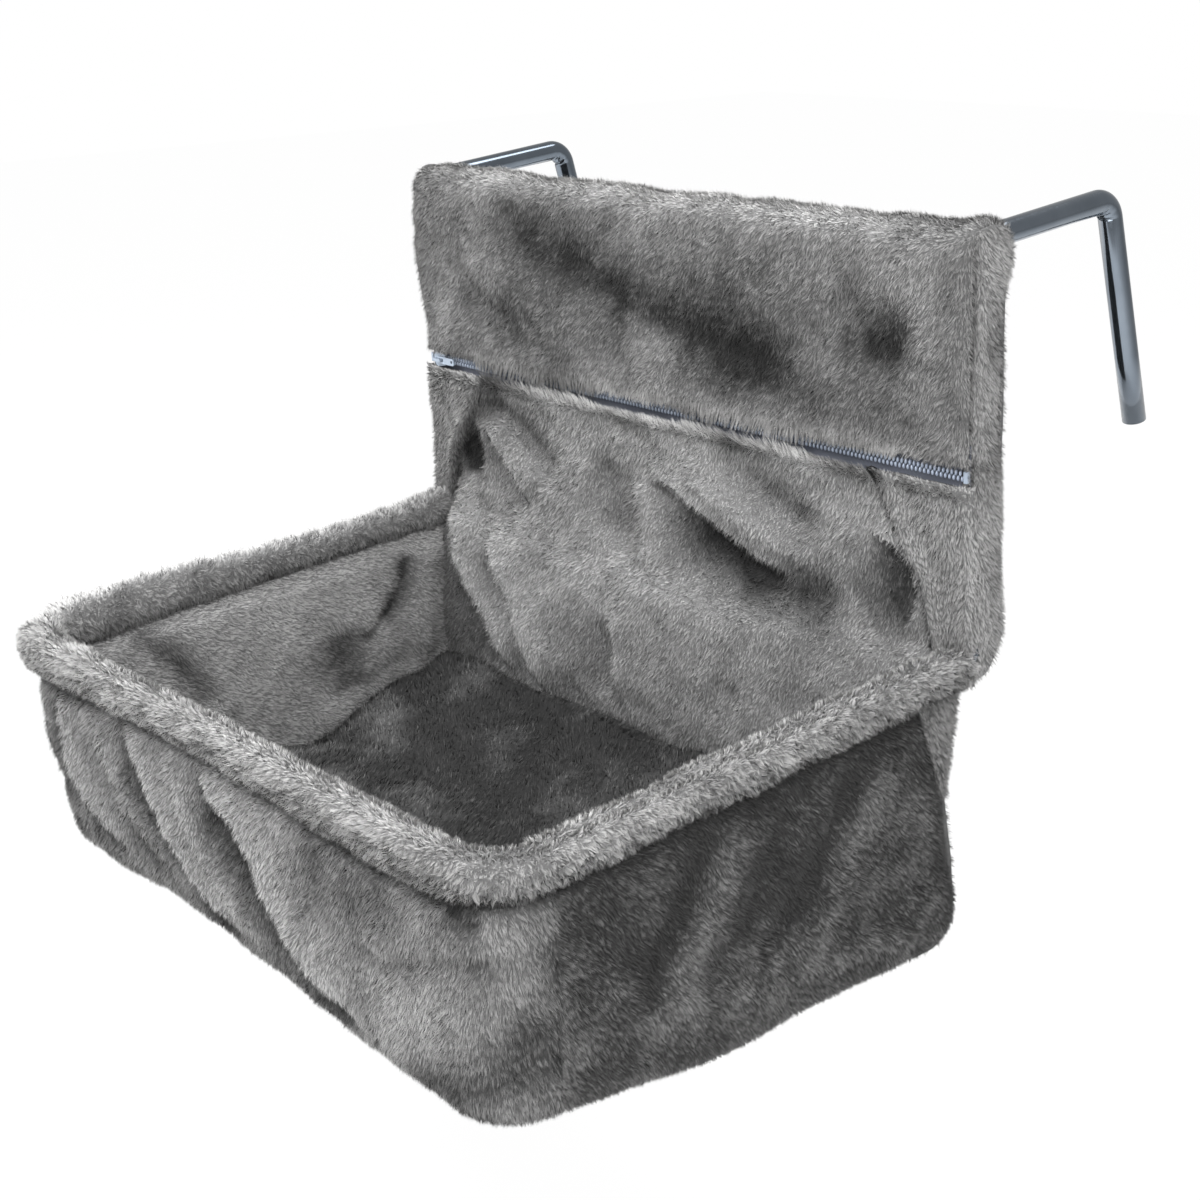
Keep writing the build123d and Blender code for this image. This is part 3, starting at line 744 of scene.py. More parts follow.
def outline(run, inset=0.0):
    """Place and outward direction on the rim, at a distance from the middle of the front."""
    side = np.sign(run)
    far = np.abs(run)
    centre = front_straight - inset
    turn = np.clip((far - front_straight) / corner_radius, 0, math.pi / 2)
    straight = np.minimum(far, front_straight) * centre / front_straight
    x = np.where(far < front_straight, straight, centre + corner_radius * np.sin(turn))
    back = rim_front + inset + corner_radius * (1 - np.cos(turn)) + np.maximum(far - corner_end, 0)
    return side * x, back, side * np.sin(turn), -np.cos(turn)


stitch_marks = (-480, -260, -209, -140, -100, -60, 0, 40, 80, 120, 160, 200, 260, 480)
stitch_drops = (11, 11, 15, 15, 12.5, 10.5, 11.5, 13, 15, 17.5, 17.5, 14, 12.5, 12)


def stitch(run):
    """How far under the tube the stitch line runs, along the rim."""
    return np.interp(run, stitch_marks, stitch_drops)


# %% Section of the roll
def round_rim(run, out, up):
    """Points beside the rim's centre line. At the front left the cloth is pulled up and out."""
    x, back, nx, ny = outline(run)
    lifted = 7.0 * hill(run, -268, 90) + 2.5 * hill(run, -475, 45)
    out = out + 8.5 * hill(run, -218, 40) * np.clip(out / 9.5, 0, 1)
    up = up + lifted * np.clip(up / 9.5, 0, 1)
    return on_rim(x + out * nx, back + out * ny, up)


roll_size = 9.5


def roll_place(first, last, waves):
    """Section of the roll, swept along a run of the rim."""

    def place(s, t):
        run = between(first, last, t)
        turn = 2 * math.pi * s
        low = np.clip(-np.sin(turn), 0, 1)
        twin = hill(run, 300, 75) + 0.25
        size = roll_size - 3.0 * hill(turn, math.pi / 2 - 0.1, 0.3) * twin
        drawn = np.sign(np.cos(turn)) * (1 - low**2.2) ** 0.9
        out = np.where(low > 0, drawn, np.cos(turn)) * size
        up = np.where(low > 0, -low * (stitch(run) - 0.4), np.sin(turn) * size) + 0.4
        points = round_rim(run, out, up)
        lumps = 0.8 * wobble(points, 34, waves) + 0.35 * wobble(points, 12, waves + 1)
        lumps = lumps * (1 - ease((low - 0.7) / 0.3))
        return round_rim(run, out + np.cos(turn) * lumps, up + np.sin(turn) * lumps)

    return place


def roll_shade(base, first, last):
    """Painted light on top, painted shade at the stitch line and in the groove on the right."""

    def shade(s, t, points):
        run = between(first, last, t)
        groove = hill(s, 0.235, 0.022) * hill(run, 300, 75, 4)
        return base + 0.08 * np.sin(2 * math.pi * s) - 0.8 * hill(s, 0.75, 0.09) - 0.6 * groove

    return shade


# %% The three rolls
side_sleeve = 263.0
sleeve_end = corner_end + side_sleeve
# A roll's name and tube, where it runs, its length in rows, its seed, tone and blades
rolls = (
    ("front_rim", "front_rim_tube", -corner_end, corner_end, 210, 3, 0.71, 120000),
    ("right_rim", "right_bent_tube", corner_end, sleeve_end, 120, 5, 0.76, 85000),
    ("left_rim", "left_bent_tube", -sleeve_end, -corner_end, 120, 7, 0.70, 50000),
)


def away_from_rim(root):
    """Nap round the roll: outwards over its top and down its flanks."""
    centre_x = np.clip(root[:, 0], -front_straight, front_straight)
    centre_y = np.maximum(root[:, 1], -316.0)
    out = np.stack([root[:, 0] - centre_x, root[:, 1] - centre_y, np.full(len(root), -14.0)], -1)
    return unit(out)


for name, tube, first, last, rows, seed, base, blades in rolls:
    roll = cloth(name, 36, rows, roll_place(first, last, seed), roll_shade(base, first, last),
                 None, 1.2, closed=True)
    pile = plant_pile(roll, blades, away_from_rim, length=3.3, lean=0.8, seed=seed, lock=4.5,
                      bunch=3.8)
    flat = (abs(last - first) * MM, 0.07)
    sew(roll, [f"{name}_sleeve"])

# %% [markdown]
# ## Base line of the basket
# The base hangs level at the back, is held up at its front left corner and sags on the right.
# Every piece that meets the base asks one function how far it stands over the level base.

# %% Height of the base
base_level = -346.5

# How far it is lifted along the front, by x, and along the right side, by y
front_line = np.array([
    (-215, 11), (-145, 9), (-100, 14), (-60, 17), (-20, 15.5), (0, 13), (40, 10.5),
    (60, 7.5), (100, 4), (160, 3.8), (180, 1.8), (215, 1.3),
], float)
right_line = np.array([
    (-345, 1.3), (-320, 1.5), (-300, -1.2), (-280, -4), (-260, -5.5), (-240, -8.5),
    (-220, -10.8), (-200, -11.5), (-180, -11), (-160, -9.3), (-140, -8.3), (-120, -8.3),
    (-100, -9.5), (-60, -9.5),
], float)


def floor_lift(x, y):
    front = ease((-170.0 - y) / 130.0)
    right = ease((x - 120.0) / 80.0)
    ahead = (np.interp(x, *front_line.T) + 4.0) * front - 4.0
    return ahead * (1 - right) + np.interp(y, *right_line.T) * right


def facing_out(run):
    """Outward direction of the walls at a distance along the rim."""
    nx, ny = outline(run)[2:]
    return np.stack([nx, ny, np.zeros(len(nx))], -1)


def hang(run, t, hem, inset, out, level):
    """Points straight down from a hem by the stitch line to a foot over the base."""
    top = round_rim(run, hem[0], hem[1] - stitch(run))
    low_x, low_back, low_nx, low_ny = outline(run, inset)
    foot_x, foot_y = low_x + out * low_nx, rim_corner[1] + low_back + out * low_ny
    foot = np.stack([foot_x, foot_y, level + floor_lift(foot_x, foot_y)], -1)
    return between(top, foot, t[:, None])


# %% [markdown]
# ## Outer walls
# The wall is cut in a front piece that turns both corners and a piece for each side. Each
# hangs from the stitch line to the base, bellies out a little and turns under at its foot.
# The front's folds fan out from the left corner, where the cloth is pulled up.

# %% Walls
def gather_line(run):
    """Small gathers of the cloth where it is stitched under the rim."""
    return 0.8 * np.sin(run / 2.9 + 1.6 * np.sin(run / 13.0)) * (0.6 + 0.4 * np.sin(run / 31.0))


def wall_place(run, t, folded, seed=2):
    """Points on an outer wall, its folds given as a function of the points."""
    drawn_in = 5.0 + 5.0 * hill(run, -205, 70)
    points = hang(run, t, (3.0, 4.0), drawn_in, 4.0, base_level - 2.0)
    belly = 3.0 * arch(t, 0.8)
    under = np.clip((t - 0.88) / 0.12, 0, 1)
    lumps = 1.3 * wobble(points, 70, seed) + 0.5 * wobble(points, 22, seed + 1)
    room = arch(t * 0.93 + 0.035, 0.45)
    gathers = gather_line(run) * hill(t, 0, 0.10) - 3.5 * hill(t, 0, 0.05)
    shift = belly + gathers + (folded(points) + lumps) * room - 10.0 * curl(under, 1.0)
    return points + facing_out(run) * shift[:, None]


# %% Folds of the front wall
# Folds on the front, in the world's x and z: a line, its height and its width on either side
front_folds = (
    ([(-130, -240), (-115, -264), (-98, -280), (-78, -292), (-56, -303), (-30, -312),
      (-8, -321)], 5.0, 6, 8),
    ([(-52, -236), (-38, -258), (-25, -276), (-10, -292), (6, -304), (24, -314), (42, -324)],
     4.5, 6, 8),
    ([(-104, -303), (-88, -308), (-66, -314)], -3.5, 6, 6),
    ([(104, -283), (135, -288), (175, -270), (224, -258)], -2.8, 4, 8),
    ([(186, -340), (196, -325), (206, -312), (222, -300)], -3.0, 7, 7),
    ([(160, -250), (185, -262), (215, -275)], 2.5, 14, 14),
    ([(182, -242), (192, -248), (200, -247)], -3.0, 5, 5),
)
# Pleats on the front: a line, the height of its lip, and the reach of its lip and its hollow
front_pleats = (
    ([(-172, -236), (-163, -262), (-153, -280), (-142, -293), (-125, -302), (-108, -317)],
     12.0, 12, 13),
    ([(-103, -234), (-75, -255), (-63, -268), (-50, -279), (-35, -289), (-22, -301), (-6, -311),
      (14, -321)], 15.0, 10, 17),
    ([(-30, -234), (-2, -252), (20, -256), (36, -270), (48, -286), (62, -296), (85, -308),
      (104, -320), (120, -332)],
     16.5, 17, 20),
    ([(-200, -238), (-194, -258), (-186, -280), (-172, -302)], 6.0, 7, 8),
)
# Painted light on crests and painted shade in hollows of the front's folds and along its foot,
# with brushed places: a line, how much lighter or darker, and its width on either side
front_patches = (
    ([(-130, -242), (-115, -264), (-98, -280), (-78, -292), (-56, -303), (-30, -312),
      (-8, -320)], 0.34, 4, 5),
    ([(-52, -238), (-38, -258), (-25, -276), (-10, -292), (6, -304), (24, -314), (42, -322)],
     0.32, 4, 5),
    ([(-104, -303), (-88, -308), (-66, -314)], -0.22, 7, 6),
    ([(112, -302), (160, -300), (200, -290)], 0.26, 18, 24),
    ([(70, -262), (110, -262), (150, -252)], -0.20, 18, 20),
    ([(104, -283), (135, -288), (175, -270), (214, -260)], -0.22, 3, 5),
    ([(140, -333), (180, -331), (200, -322), (222, -308)], -0.34, 11, 8),
    ([(182, -242), (192, -248), (200, -247)], -0.40, 5, 5),
    ([(-190, -262), (-184, -290), (-174, -312)], -0.22, 14, 10),
    ([(130, -347), (170, -348), (206, -346)], -0.7, 4, 4),
)


# %% Front wall
def front_wall(s, t):
    def folded(points):
        x, z = points[:, 0], points[:, 2]
        return folds(x, z, front_folds) + pleats(x, z, front_pleats) + 1.5

    return wall_place(between(-corner_end, corner_end, s), t, folded)


right_tone = 0.07


def round_the_corner(points):
    """Share of the darker right side, whose edge wanders round the front right corner."""
    edge = -321.0 + 9.0 * wobble(points, 45, 34) + 10.0 * ease((-300 - points[:, 2]) / 30)
    return ease((points[:, 1] - edge) / 44.0 + 0.5) * (points[:, 0] > 150)


def front_wall_shade(s, t, points):
    x, z = points[:, 0], points[:, 2]
    turned = round_the_corner(points)
    # Painted shade in the hollows under the pleats and painted light on their lips
    creased = pleats(x, z, front_pleats, 1.4)
    tone = 0.52 + 1.15 * folds(x, z, front_patches)
    tone = tone + 0.060 * creased + 0.045 * np.minimum(creased, 0)
    # Painted shadow under the rim along the top of the wall, uneven with the gathers
    tone = tone - (0.55 + 0.25 * gather_line(x)) * hill(t, 0, 0.045)
    return tone * (1 - turned) + right_tone * turned


front_panel = cloth("front_wall", 230, 84, front_wall, front_wall_shade, (0, -1, 0))
front_pile = plant_pile(front_panel, 175000, (0.35, 0, -0.9), seed=31, length=3.4)
sew(front_panel, ["front_outer_panel"])

# %% Folds of the side walls
# On the right and on the left, in the world's y and z
side_folds = (
    ([(-226, -226), (-238, -256), (-258, -284), (-268, -318)], -4.5, 9, 7),
    ([(-206, -232), (-222, -266), (-246, -300), (-256, -330)], 4.5, 10, 14),
    ([(-164, -228), (-188, -252), (-206, -284), (-232, -322)], -3.0, 8, 10),
    ([(-130, -222), (-146, -254), (-168, -288), (-196, -318)], -4.5, 8, 8),
    ([(-108, -224), (-126, -262), (-152, -296), (-176, -326)], 4.0, 12, 12),
    ([(-150, -332), (-110, -334), (-82, -342)], 3.0, 7, 7),
    ([(-130, -322), (-104, -324), (-84, -330)], -2.5, 6, 6),
    ([(-262, -322), (-200, -322), (-140, -322)], 2.0, 10, 10),
)
left_side_folds = (
    ([(-280, -236), (-262, -276), (-238, -320)], 4.5, 9, 12),
    ([(-222, -230), (-206, -272), (-186, -322)], -4.0, 9, 9),
    ([(-168, -228), (-150, -268), (-132, -316)], 4.0, 12, 12),
    ([(-112, -224), (-104, -262), (-92, -310)], -3.5, 10, 10),
)

# %% Side walls
side_run = 278.0  # from the front corner to the corner of the uprights
rear_marks = (0, 0.38, 0.55, 0.69, 0.8, 0.9, 0.97, 1)
rear_reach = (-51, -32, -28.5, -22, -16, -16.5, -21, -31)


def side_wall(side, rows):
    """Side wall from the front corner to its rear edge, where it turns in round the corner."""

    def place(s, t):
        length = side_run + np.interp(t, rear_marks, rear_reach)
        run = corner_end + s * length
        points = wall_place(side * run, t, lambda p: folds(p[:, 1], p[:, 2], rows), 5 + side)
        turn = np.clip((s * length - length + 9.0) / 9.0, 0, 1) * ease(t / 0.4)
        points[:, 0] -= side * 7.0 * curl(turn)
        return points

    return place


def side_wall_shade(base, rows):
    def shade(s, t, points):
        # Painted light on the folds' crests and painted shade in their hollows; then painted shade
        # where the rear edge turns in, and painted shadow under the rim along the top
        tone = base + folds(points[:, 1], points[:, 2], rows) * 0.05
        tone = tone - 0.12 * ease((s - 0.93) / 0.07) - 0.3 * hill(t, 0, 0.045)
        lit = 1 - round_the_corner(points)
        return tone + 0.42 * lit * (points[:, 0] > 150)

    return shade


for side, hand, rows, base, blades in (
    (1, "right", side_folds, right_tone, 140000),
    (-1, "left", left_side_folds, 0.36, 40000),
):
    place, shade = side_wall(side, rows), side_wall_shade(base, rows)
    panel = cloth(f"{hand}_wall", 150, 70, place, shade, (side, 0, 0))
    pile = plant_pile(panel, blades, (0, 0.45, -0.8), seed=41 + side, length=3.4)
    sew(panel, [f"{hand}_outer_panel"])

# %% [markdown]
# ## Wedges
# Under each side of the pocket a narrow tapering piece joins the side wall to the back wall.

# %% Wedges
def wedge_place(side):
    def place(s, t):
        drop = 64.0 * t
        front = np.interp(t, (0, 1), (-51.5, -30.5))
        back = np.interp(t, (0, 1), (-22.0, -27.5))
        y = rim_corner[1] + between(front, back, s)
        z = rim_corner[2] - 9.5 - drop * 0.85 - (1 - s) * 2.0
        puff = 2.5 * np.sin(math.pi * s) * (1 - 0.5 * t)
        return np.stack([side * (half_frame + 4.2 - 1.8 * t + puff), y, z], -1)

    return place


for side, hand in ((1, "right"), (-1, "left")):
    place = wedge_place(side)
    panel = cloth(f"{hand}_tuck", 16, 30, place, lambda s, t, p: 0.24 + 0.12 * s, (side, 0, 0))
    pile = plant_pile(panel, 6000, (0, 0.2, -0.9), seed=51 + side)
    sew(panel, [f"{hand}_wedge"])

# %% [markdown]
# ## Pocket of the back rest
# One piece of plush goes up from the zip, over the top tube and down to a seam behind. It is
# stretched between the uprights, with slack diagonal folds, is gathered round the right arm
# where the tube comes out of it, and is drawn in at its left end.

# %% Folds of the upper panel
# In distances across and up the pocket, then a fold's height and its width on either side
pocket_folds = (
    ([(-214, 186), (-190, 158), (-158, 140), (-120, 124)], -3.5, 12, 10),
    ([(-205, 205), (-160, 168), (-110, 146), (-60, 120)], 3.0, 18, 22),
    ([(-140, 200), (-90, 176), (-30, 150), (40, 134), (120, 132)], -3.5, 16, 14),
    ([(-40, 190), (30, 160), (110, 152)], 2.0, 22, 20),
    ([(130, 176), (150, 158), (176, 140)], -2.5, 14, 16),
    ([(186, 212), (180, 180), (172, 140), (182, 110)], 1.8, 12, 16),
    ([(-200, 112), (-120, 108), (-20, 110), (60, 106)], 1.6, 8, 10),
)
# Painted shade in the pocket's hollows and painted light on its crests, such as the top of the
# fold and the lip above the zip: a line, how much darker or lighter, and its width on either side
pocket_hollow_shade = (
    ([(-150, 196), (-100, 178), (-50, 162), (0, 146), (60, 138), (120, 136)], 1.0, 20, 16),
    ([(-190, 152), (-150, 138), (-110, 118), (-60, 112)], 0.55, 14, 12),
    ([(130, 150), (160, 152), (186, 170)], 0.65, 18, 14),
    ([(30, 128), (90, 124), (150, 118)], 0.5, 16, 12),
    ([(150, 158), (166, 154), (180, 150)], 0.6, 10, 10),
)
pocket_crest_light = (
    ([(-210, 214), (0, 216), (200, 212)], 1.2, 9, 9),
    ([(-30, 134), (0, 128), (20, 122)], 0.6, 16, 12),
    ([(-200, 132), (-180, 128)], 0.3, 10, 10),
    ([(-205, 105), (-100, 104), (0, 105), (100, 104), (205, 105)], 0.55, 5, 5),
    ([(-200, 160), (-160, 158), (-126, 150)], 0.4, 12, 12),
    ([(150, 180), (176, 184), (200, 176)], 0.35, 12, 12),
)

# %% Upper panel
pocket_half = 214.5
zip_edge = 101.0  # lower edge of the panel, up the pocket
fold_start = 199.5
fold_depth, fold_reach = 10.5, 14.7
front_run = fold_start - zip_edge
fold_run = math.pi * 13.2
rear_run = fold_start - 186.5
pocket_run = front_run + fold_run + rear_run
left_wave = ((96, 112, 125, 145, 165, 185, 205), (-4, 0, -4, -8, -9, -7, -4))


def pocket_place(s, t):
    x = between(-pocket_half, pocket_half, s)
    run = t * pocket_run
    turn = np.clip((run - front_run) / fold_run, 0, 1) * math.pi
    past = np.maximum(run - front_run - fold_run, 0)
    up = np.where(run < front_run, zip_edge + run, fold_start + 12.2 * np.sin(turn)) - past
    out = -fold_depth + fold_reach * np.cos(turn)
    shift = 1.4 * folds(x, up, pocket_folds) * (run < front_run + 10)
    flat = on_pocket(x, up, out)
    shift = shift + 1.0 * wobble(flat, 60, 61) + 0.5 * wobble(flat, 20, 62)
    shift = shift - 4.0 * curl(np.clip((np.abs(x) - pocket_half + 6.0) / 6.0, 0, 1))

    # Gathered cloth round the arm at the right, and the left end drawn in
    arm = hill(x, 209, 15) * hill(run, front_run + 30, 20)
    notch = hill(x, 196, 6) * hill(run, front_run + 18, 12)
    shift = shift + 3.0 * arm * (x > 0) - 3.0 * notch
    up = up + shift * np.sin(turn)
    out = out + shift * np.cos(turn)
    x = x + np.sign(x) * 3.0 * arm
    return on_pocket(x + np.interp(up, *left_wave) * ease((-x - 150) / 60), up, out)


def pocket_shade(s, t, points):
    x = between(-pocket_half, pocket_half, s)
    up = zip_edge + np.minimum(t * pocket_run, front_run + 20)
    return 0.47 - 0.44 * folds(x, up, pocket_hollow_shade) + 0.50 * folds(x, up, pocket_crest_light)


pocket_panel = cloth("pocket_panel", 200, 90, pocket_place, pocket_shade, None, 1.5)
front_faces = (p for p in pocket_panel.data.polygons if p.center.y < -0.05)
if sum((Vector(p.normal) * p.area for p in front_faces), Vector()).y > 0:
    pocket_panel.data.flip_normals()


# %% Nap and fringe along the zip
zip_line = 95.5  # middle of the zip, up the pocket
fringe_left, fringe_right = -166, 170
# Where the lips meet in front of the zip, by x, from 0 to 1
shut = ((-180, -165, -60, -45, 12, 26, 108, 120), (0.1, 1, 1, 0.1, 0.1, 1, 1, 0.1))


def over_the_fold(root):
    """Nap that runs up the back, forward over the top and down the front."""
    centre = pocket_foot + fold_start * pocket_up + fold_depth * -pocket_out
    y = root[:, 1] - centre[1]
    z = np.maximum(root[:, 2] - centre[2], 0.0)
    return unit(np.stack([0.12 + 0 * y, -z, y], -1))


def by_zip(root):
    """Share of the edges of cloth on both sides of the zip."""
    x, up = root[:, 0], root[:, 2] - pocket_foot[2]
    return hill(up, zip_line, 9.5, 6) * (x > fringe_left) * (x < fringe_right)


def lip_length(root):
    """Fringe of the two lips of the zip: long where they meet in front of it, short elsewhere."""
    return 4.4 + 4.6 * np.interp(root[:, 0], *shut) * by_zip(root)


def down_the_lip(root):
    """Nap of the fringe over the zip: down from its upper lip and up from its lower one."""
    way = np.where(root[:, 2] - pocket_foot[2] > zip_line, -1.0, 1.0)
    return np.stack([0.12 + 0 * way, -0.1 + 0 * way, way], -1)


def plant_fringe(panel, count, seed, shaded):
    """Dense pile along the panel's edge at the zip, combed over the tape."""
    # The fringes are darkened by shaded, as painted shade of the slot over the zip; the lower one
    # most.
    return plant_pile(panel, count, down_the_lip, seed=seed, length=lip_length, lean=2.6,
                      bunch=3.4, share=by_zip, kind="fringe", shaded=shaded)


pocket_pile = plant_pile(pocket_panel, 165000, over_the_fold, seed=61)
upper_lip = plant_fringe(pocket_panel, 16000, 62, 0.12)
sew(pocket_panel, ["pocket_front_panel"])

# %% [markdown]
# ## Gussets and border strips
# The gussets close the pocket at its sides, outside the uprights. Below the zip a strip on
# each side frames the slack lining; its inner edge stands forward as a soft lip.

# %% Gussets
def gusset_place(side):
    """Side strip, bent round the upright inside it."""

    def place(s, t):
        low = between(-9.0, 13.0, ease(s) ** 2)
        depth = between(-1.5, 23.0, s)
        high = fold_start + 12.6 * np.sqrt(1 - ((depth - fold_depth) / fold_reach) ** 2)
        up = between(low, high, t)
        flat = on_pocket(side * (half_frame + 5.2), up, -depth)
        puff = arch(s, 0.7) + 0.8 * wobble(flat, 40, 71 + side)
        puff = puff - 1.5 * hill(s, 0.12, 0.06)
        knuckle = hill(up, 196, 16) * hill(depth, 20, 14) * (side > 0)
        wrap = 3.6 * hill(depth, 15.5 - 5.0 * up / fold_start, 8.5, 4)
        waist = 0.5 * np.sin(up / 22.0 + side)
        away = half_frame + 3.4 + wrap + puff + waist + 3 * knuckle
        return on_pocket(side * away, up, -depth - 6 * knuckle)

    return place


def gusset_shade(s, t, points):
    # Painted shade in the dent along the strip near its front edge
    return 0.60 + 0.14 * np.sin(t * 23) * s - 0.45 * hill(s, 0.12, 0.05)


for side, hand in ((1, "right"), (-1, "left")):
    name, place = f"{hand}_pocket_side", gusset_place(side)
    panel = cloth(name, 24, 110, place, gusset_shade, (side, 0, 0))
    blades = 18000 + 6000 * side
    pile = plant_pile(panel, blades, (0, 0.1, -0.9), seed=71 + side, length=3.4)
    sew(panel, [f"{hand}_gusset"])

# %% Border strips
def lip_nap(root):
    """Nap that runs down, but up on the lip under the zip."""
    lip = ease((root[:, 2] - pocket_foot[2] - 82.0) / 6.0)
    return np.stack([0.25 + 0 * lip, 0 * lip, 1.7 * lip - 0.8], -1)


# Reach of the strip's inner edge, up the pocket, on either side
strip_marks = (-10, 5, 22, 42, 58, 70, 90.5)
strip_reach = {1: (196, 193, 190, 184, 172, 163, 152), -1: (200, 199, 195, 188, 176, 164, 152)}
strip_edge = {1: 216.5, -1: 218.5}


def strip_place(side):
    """Strip beside the back lining, its inner edge standing forward as a lip."""

    def place(s, t):
        up = between(90.5, -10.0, t)
        inner = np.interp(up, strip_marks, strip_reach[side])
        x = between(inner, strip_edge[side], s)
        lip = hill(s, 0.15, 0.13) * arch(t * 0.9 + 0.05, 1)
        out = 3.6 + 4.5 * lip + 1.2 * np.sin(up / 11.0) * s
        out = out - 7.0 * hill(s, 0, 0.07) * ease(t / 0.2)
        flat = on_pocket(side * x, up, out)
        out = out + 0.9 * wobble(flat, 30, 81 + side) - 3.0 * np.clip((s - 0.9) / 0.1, 0, 1) ** 2
        return on_pocket(side * x, up, out)

    return place


def strip_shade(s, t, points):
    # Painted shade along the inner edge, where the lining goes back behind the lip; darker towards
    # the bottom
    return 0.70 - 0.1 * t - 0.6 * hill(s, 0, 0.14)


for side, hand in ((1, "right"), (-1, "left")):
    panel = cloth(f"{hand}_strip", 40, 70, strip_place(side), strip_shade, (0, -1, 0))
    pile = plant_pile(panel, 20000, lip_nap, seed=81 + side)
    sew(panel, [f"{hand}_border_strip"])

# %% [markdown]
# ## Back wall
# Behind, one piece runs from the seam under the fold down the back of the pocket, is tucked
# forward under the rim and goes on down to the base.

# %% Rear panel
# Down the panel: the share of its length, half its width, and how far forward its foot goes
rear_levels = (0, 0.50, 0.60, 0.76, 0.90, 0.97, 1.0)
rear_halves = (217.0, 216.0, 213.0, 211.0, 209.0, 207.0, 203.0)
rear_inward = np.array([14, 24, 12, 18, 33])
rear_heights = (-216, -267, -318, base_level + 1, base_level - 2)


def rear_place(s, t):
    top, knee = (pocket_foot + up * pocket_up - 26.0 * pocket_out for up in (186.0, 12.0))
    y = np.interp(t, rear_levels, (top[1], knee[1], *(rim_corner[1] - rear_inward)))
    z = np.interp(t, rear_levels, (top[2], knee[2], *rear_heights))
    half = np.interp(t, rear_levels, rear_halves) - 4.0 * hill(t, 0.38, 0.09) * (s > 0.5)
    x = between(-half, half, s)
    z = z + floor_lift(x, y) * ease((t - 0.8) / 0.2)
    flat = np.stack([x, y, z], -1)
    shift = 2.0 * wobble(flat, 90, 91) + 0.8 * wobble(flat, 28, 92)
    room = arch(t * 0.96 + 0.02, 0.4)
    edge = np.clip((np.abs(s - 0.5) * 2 - 0.96) / 0.04, 0, 1)
    return flat + slope(2.4) * (shift * room - 5.0 * edge**2)[:, None]


rear_panel = cloth("rear_wall", 100, 90, rear_place, lambda s, t, p: 0.45, (0, 1, 0))
rear_pile = plant_pile(rear_panel, 40000, (0, 0.1, -0.9), seed=91, length=3.6, width=0.8)
sew(rear_panel, ["rear_panel"])

# %% [markdown]
# ## Lining
# The linings of the front and sides hang from the same stitch line, inside. The left one has
# a soft fold near the front and a deep crease near the back corner.

# %% Folds of the side linings
left_lining_folds = (
    ([(-296, -226), (-274, -248), (-252, -274), (-240, -300)], -4.0, 8, 8),
    ([(-276, -226), (-256, -246), (-238, -276), (-228, -304)], 4.0, 8, 12),
    ([(-176, -304), (-150, -282), (-140, -262)], -3.5, 14, 14),
    ([(-100, -220), (-102, -248), (-122, -266), (-136, -284)], -6.0, 7, 6),
    ([(-84, -222), (-88, -256), (-92, -296)], 5.5, 8, 8),
    ([(-124, -246), (-128, -268), (-112, -292)], 3.5, 8, 8),
)
right_lining_folds = (
    ([(-240, -226), (-222, -264), (-210, -304)], 4.0, 10, 12),
    ([(-150, -222), (-160, -262), (-176, -306)], -3.5, 10, 10),
)
# Painted shade in the left lining's creases and hollows: a line, how much darker, and its width on
# either side
left_lining_crease_shade = (
    ([(-290, -228), (-262, -258), (-244, -292)], 0.7, 8, 8),
    ([(-150, -262), (-150, -284), (-148, -306)], 1.0, 16, 16),
    ([(-98, -222), (-102, -250), (-124, -266)], 1.1, 6, 6),
    ([(-70, -226), (-66, -260), (-70, -300)], 0.9, 9, 9),
)


# %% Side and front linings
lining_run = 278.0 - 26.0


def hang_lining(run, t):
    return hang(run, t, (-4.0, 3.0), 10.0, -4.0, base_level + 3.5)


def lining_place(side, rows):
    def place(s, t):
        points = hang_lining(side * (corner_end + s * lining_run), t)
        room = arch(t + 0.02)
        lumps = 1.2 * wobble(points, 60, 101 + side) + 0.5 * wobble(points, 22, 103)
        shift = (folds(points[:, 1], points[:, 2], rows) + lumps) * room + 4.5 * ease(t / 0.1)
        points[:, 0] -= side * shift
        return points

    return place


def front_lining_place(s, t):
    run = between(-corner_end, corner_end, s)
    points = hang_lining(run, t)
    room = arch(t + 0.02)
    shift = (1.5 + 1.8 * wobble(points, 70, 106) + 0.5 * wobble(points, 20, 107)) * room
    return points - facing_out(run) * shift[:, None]


def left_lining_shade(s, t, points):
    return 0.98 - 0.75 * folds(points[:, 1], points[:, 2], left_lining_crease_shade)


def hidden_shade(s, t, points):
    return 0.5 - 0.2 * t


place = lining_place(-1, left_lining_folds)
left_lining = cloth("left_inner_wall", 140, 70, place, left_lining_shade, (1, 0, 0))
pile = plant_pile(left_lining, 80000, (0, 0.7, -0.4), seed=101, length=3.2)
sew(left_lining, ["left_lining"])

place = lining_place(1, right_lining_folds)
right_lining = cloth("right_inner_wall", 80, 36, place, hidden_shade, (-1, 0, 0))
pile = plant_pile(right_lining, 15000, (0, 0.7, -0.4), seed=104, length=4, width=0.7)
sew(right_lining, ["right_lining"])

front_lining = cloth("front_inner_wall", 100, 36, front_lining_place, hidden_shade, (0, 1, 0))
pile = plant_pile(front_lining, 25000, (0.5, 0, -0.6), seed=105, length=4, width=0.7)
sew(front_lining, ["front_lining"])

# %% [markdown]
# ## Slack back lining
# The back lining is the softest piece: sewn flat under the zip, it hangs slack between the
# strips, swings forward over the rear tube and falls to the base in broad slanting folds.

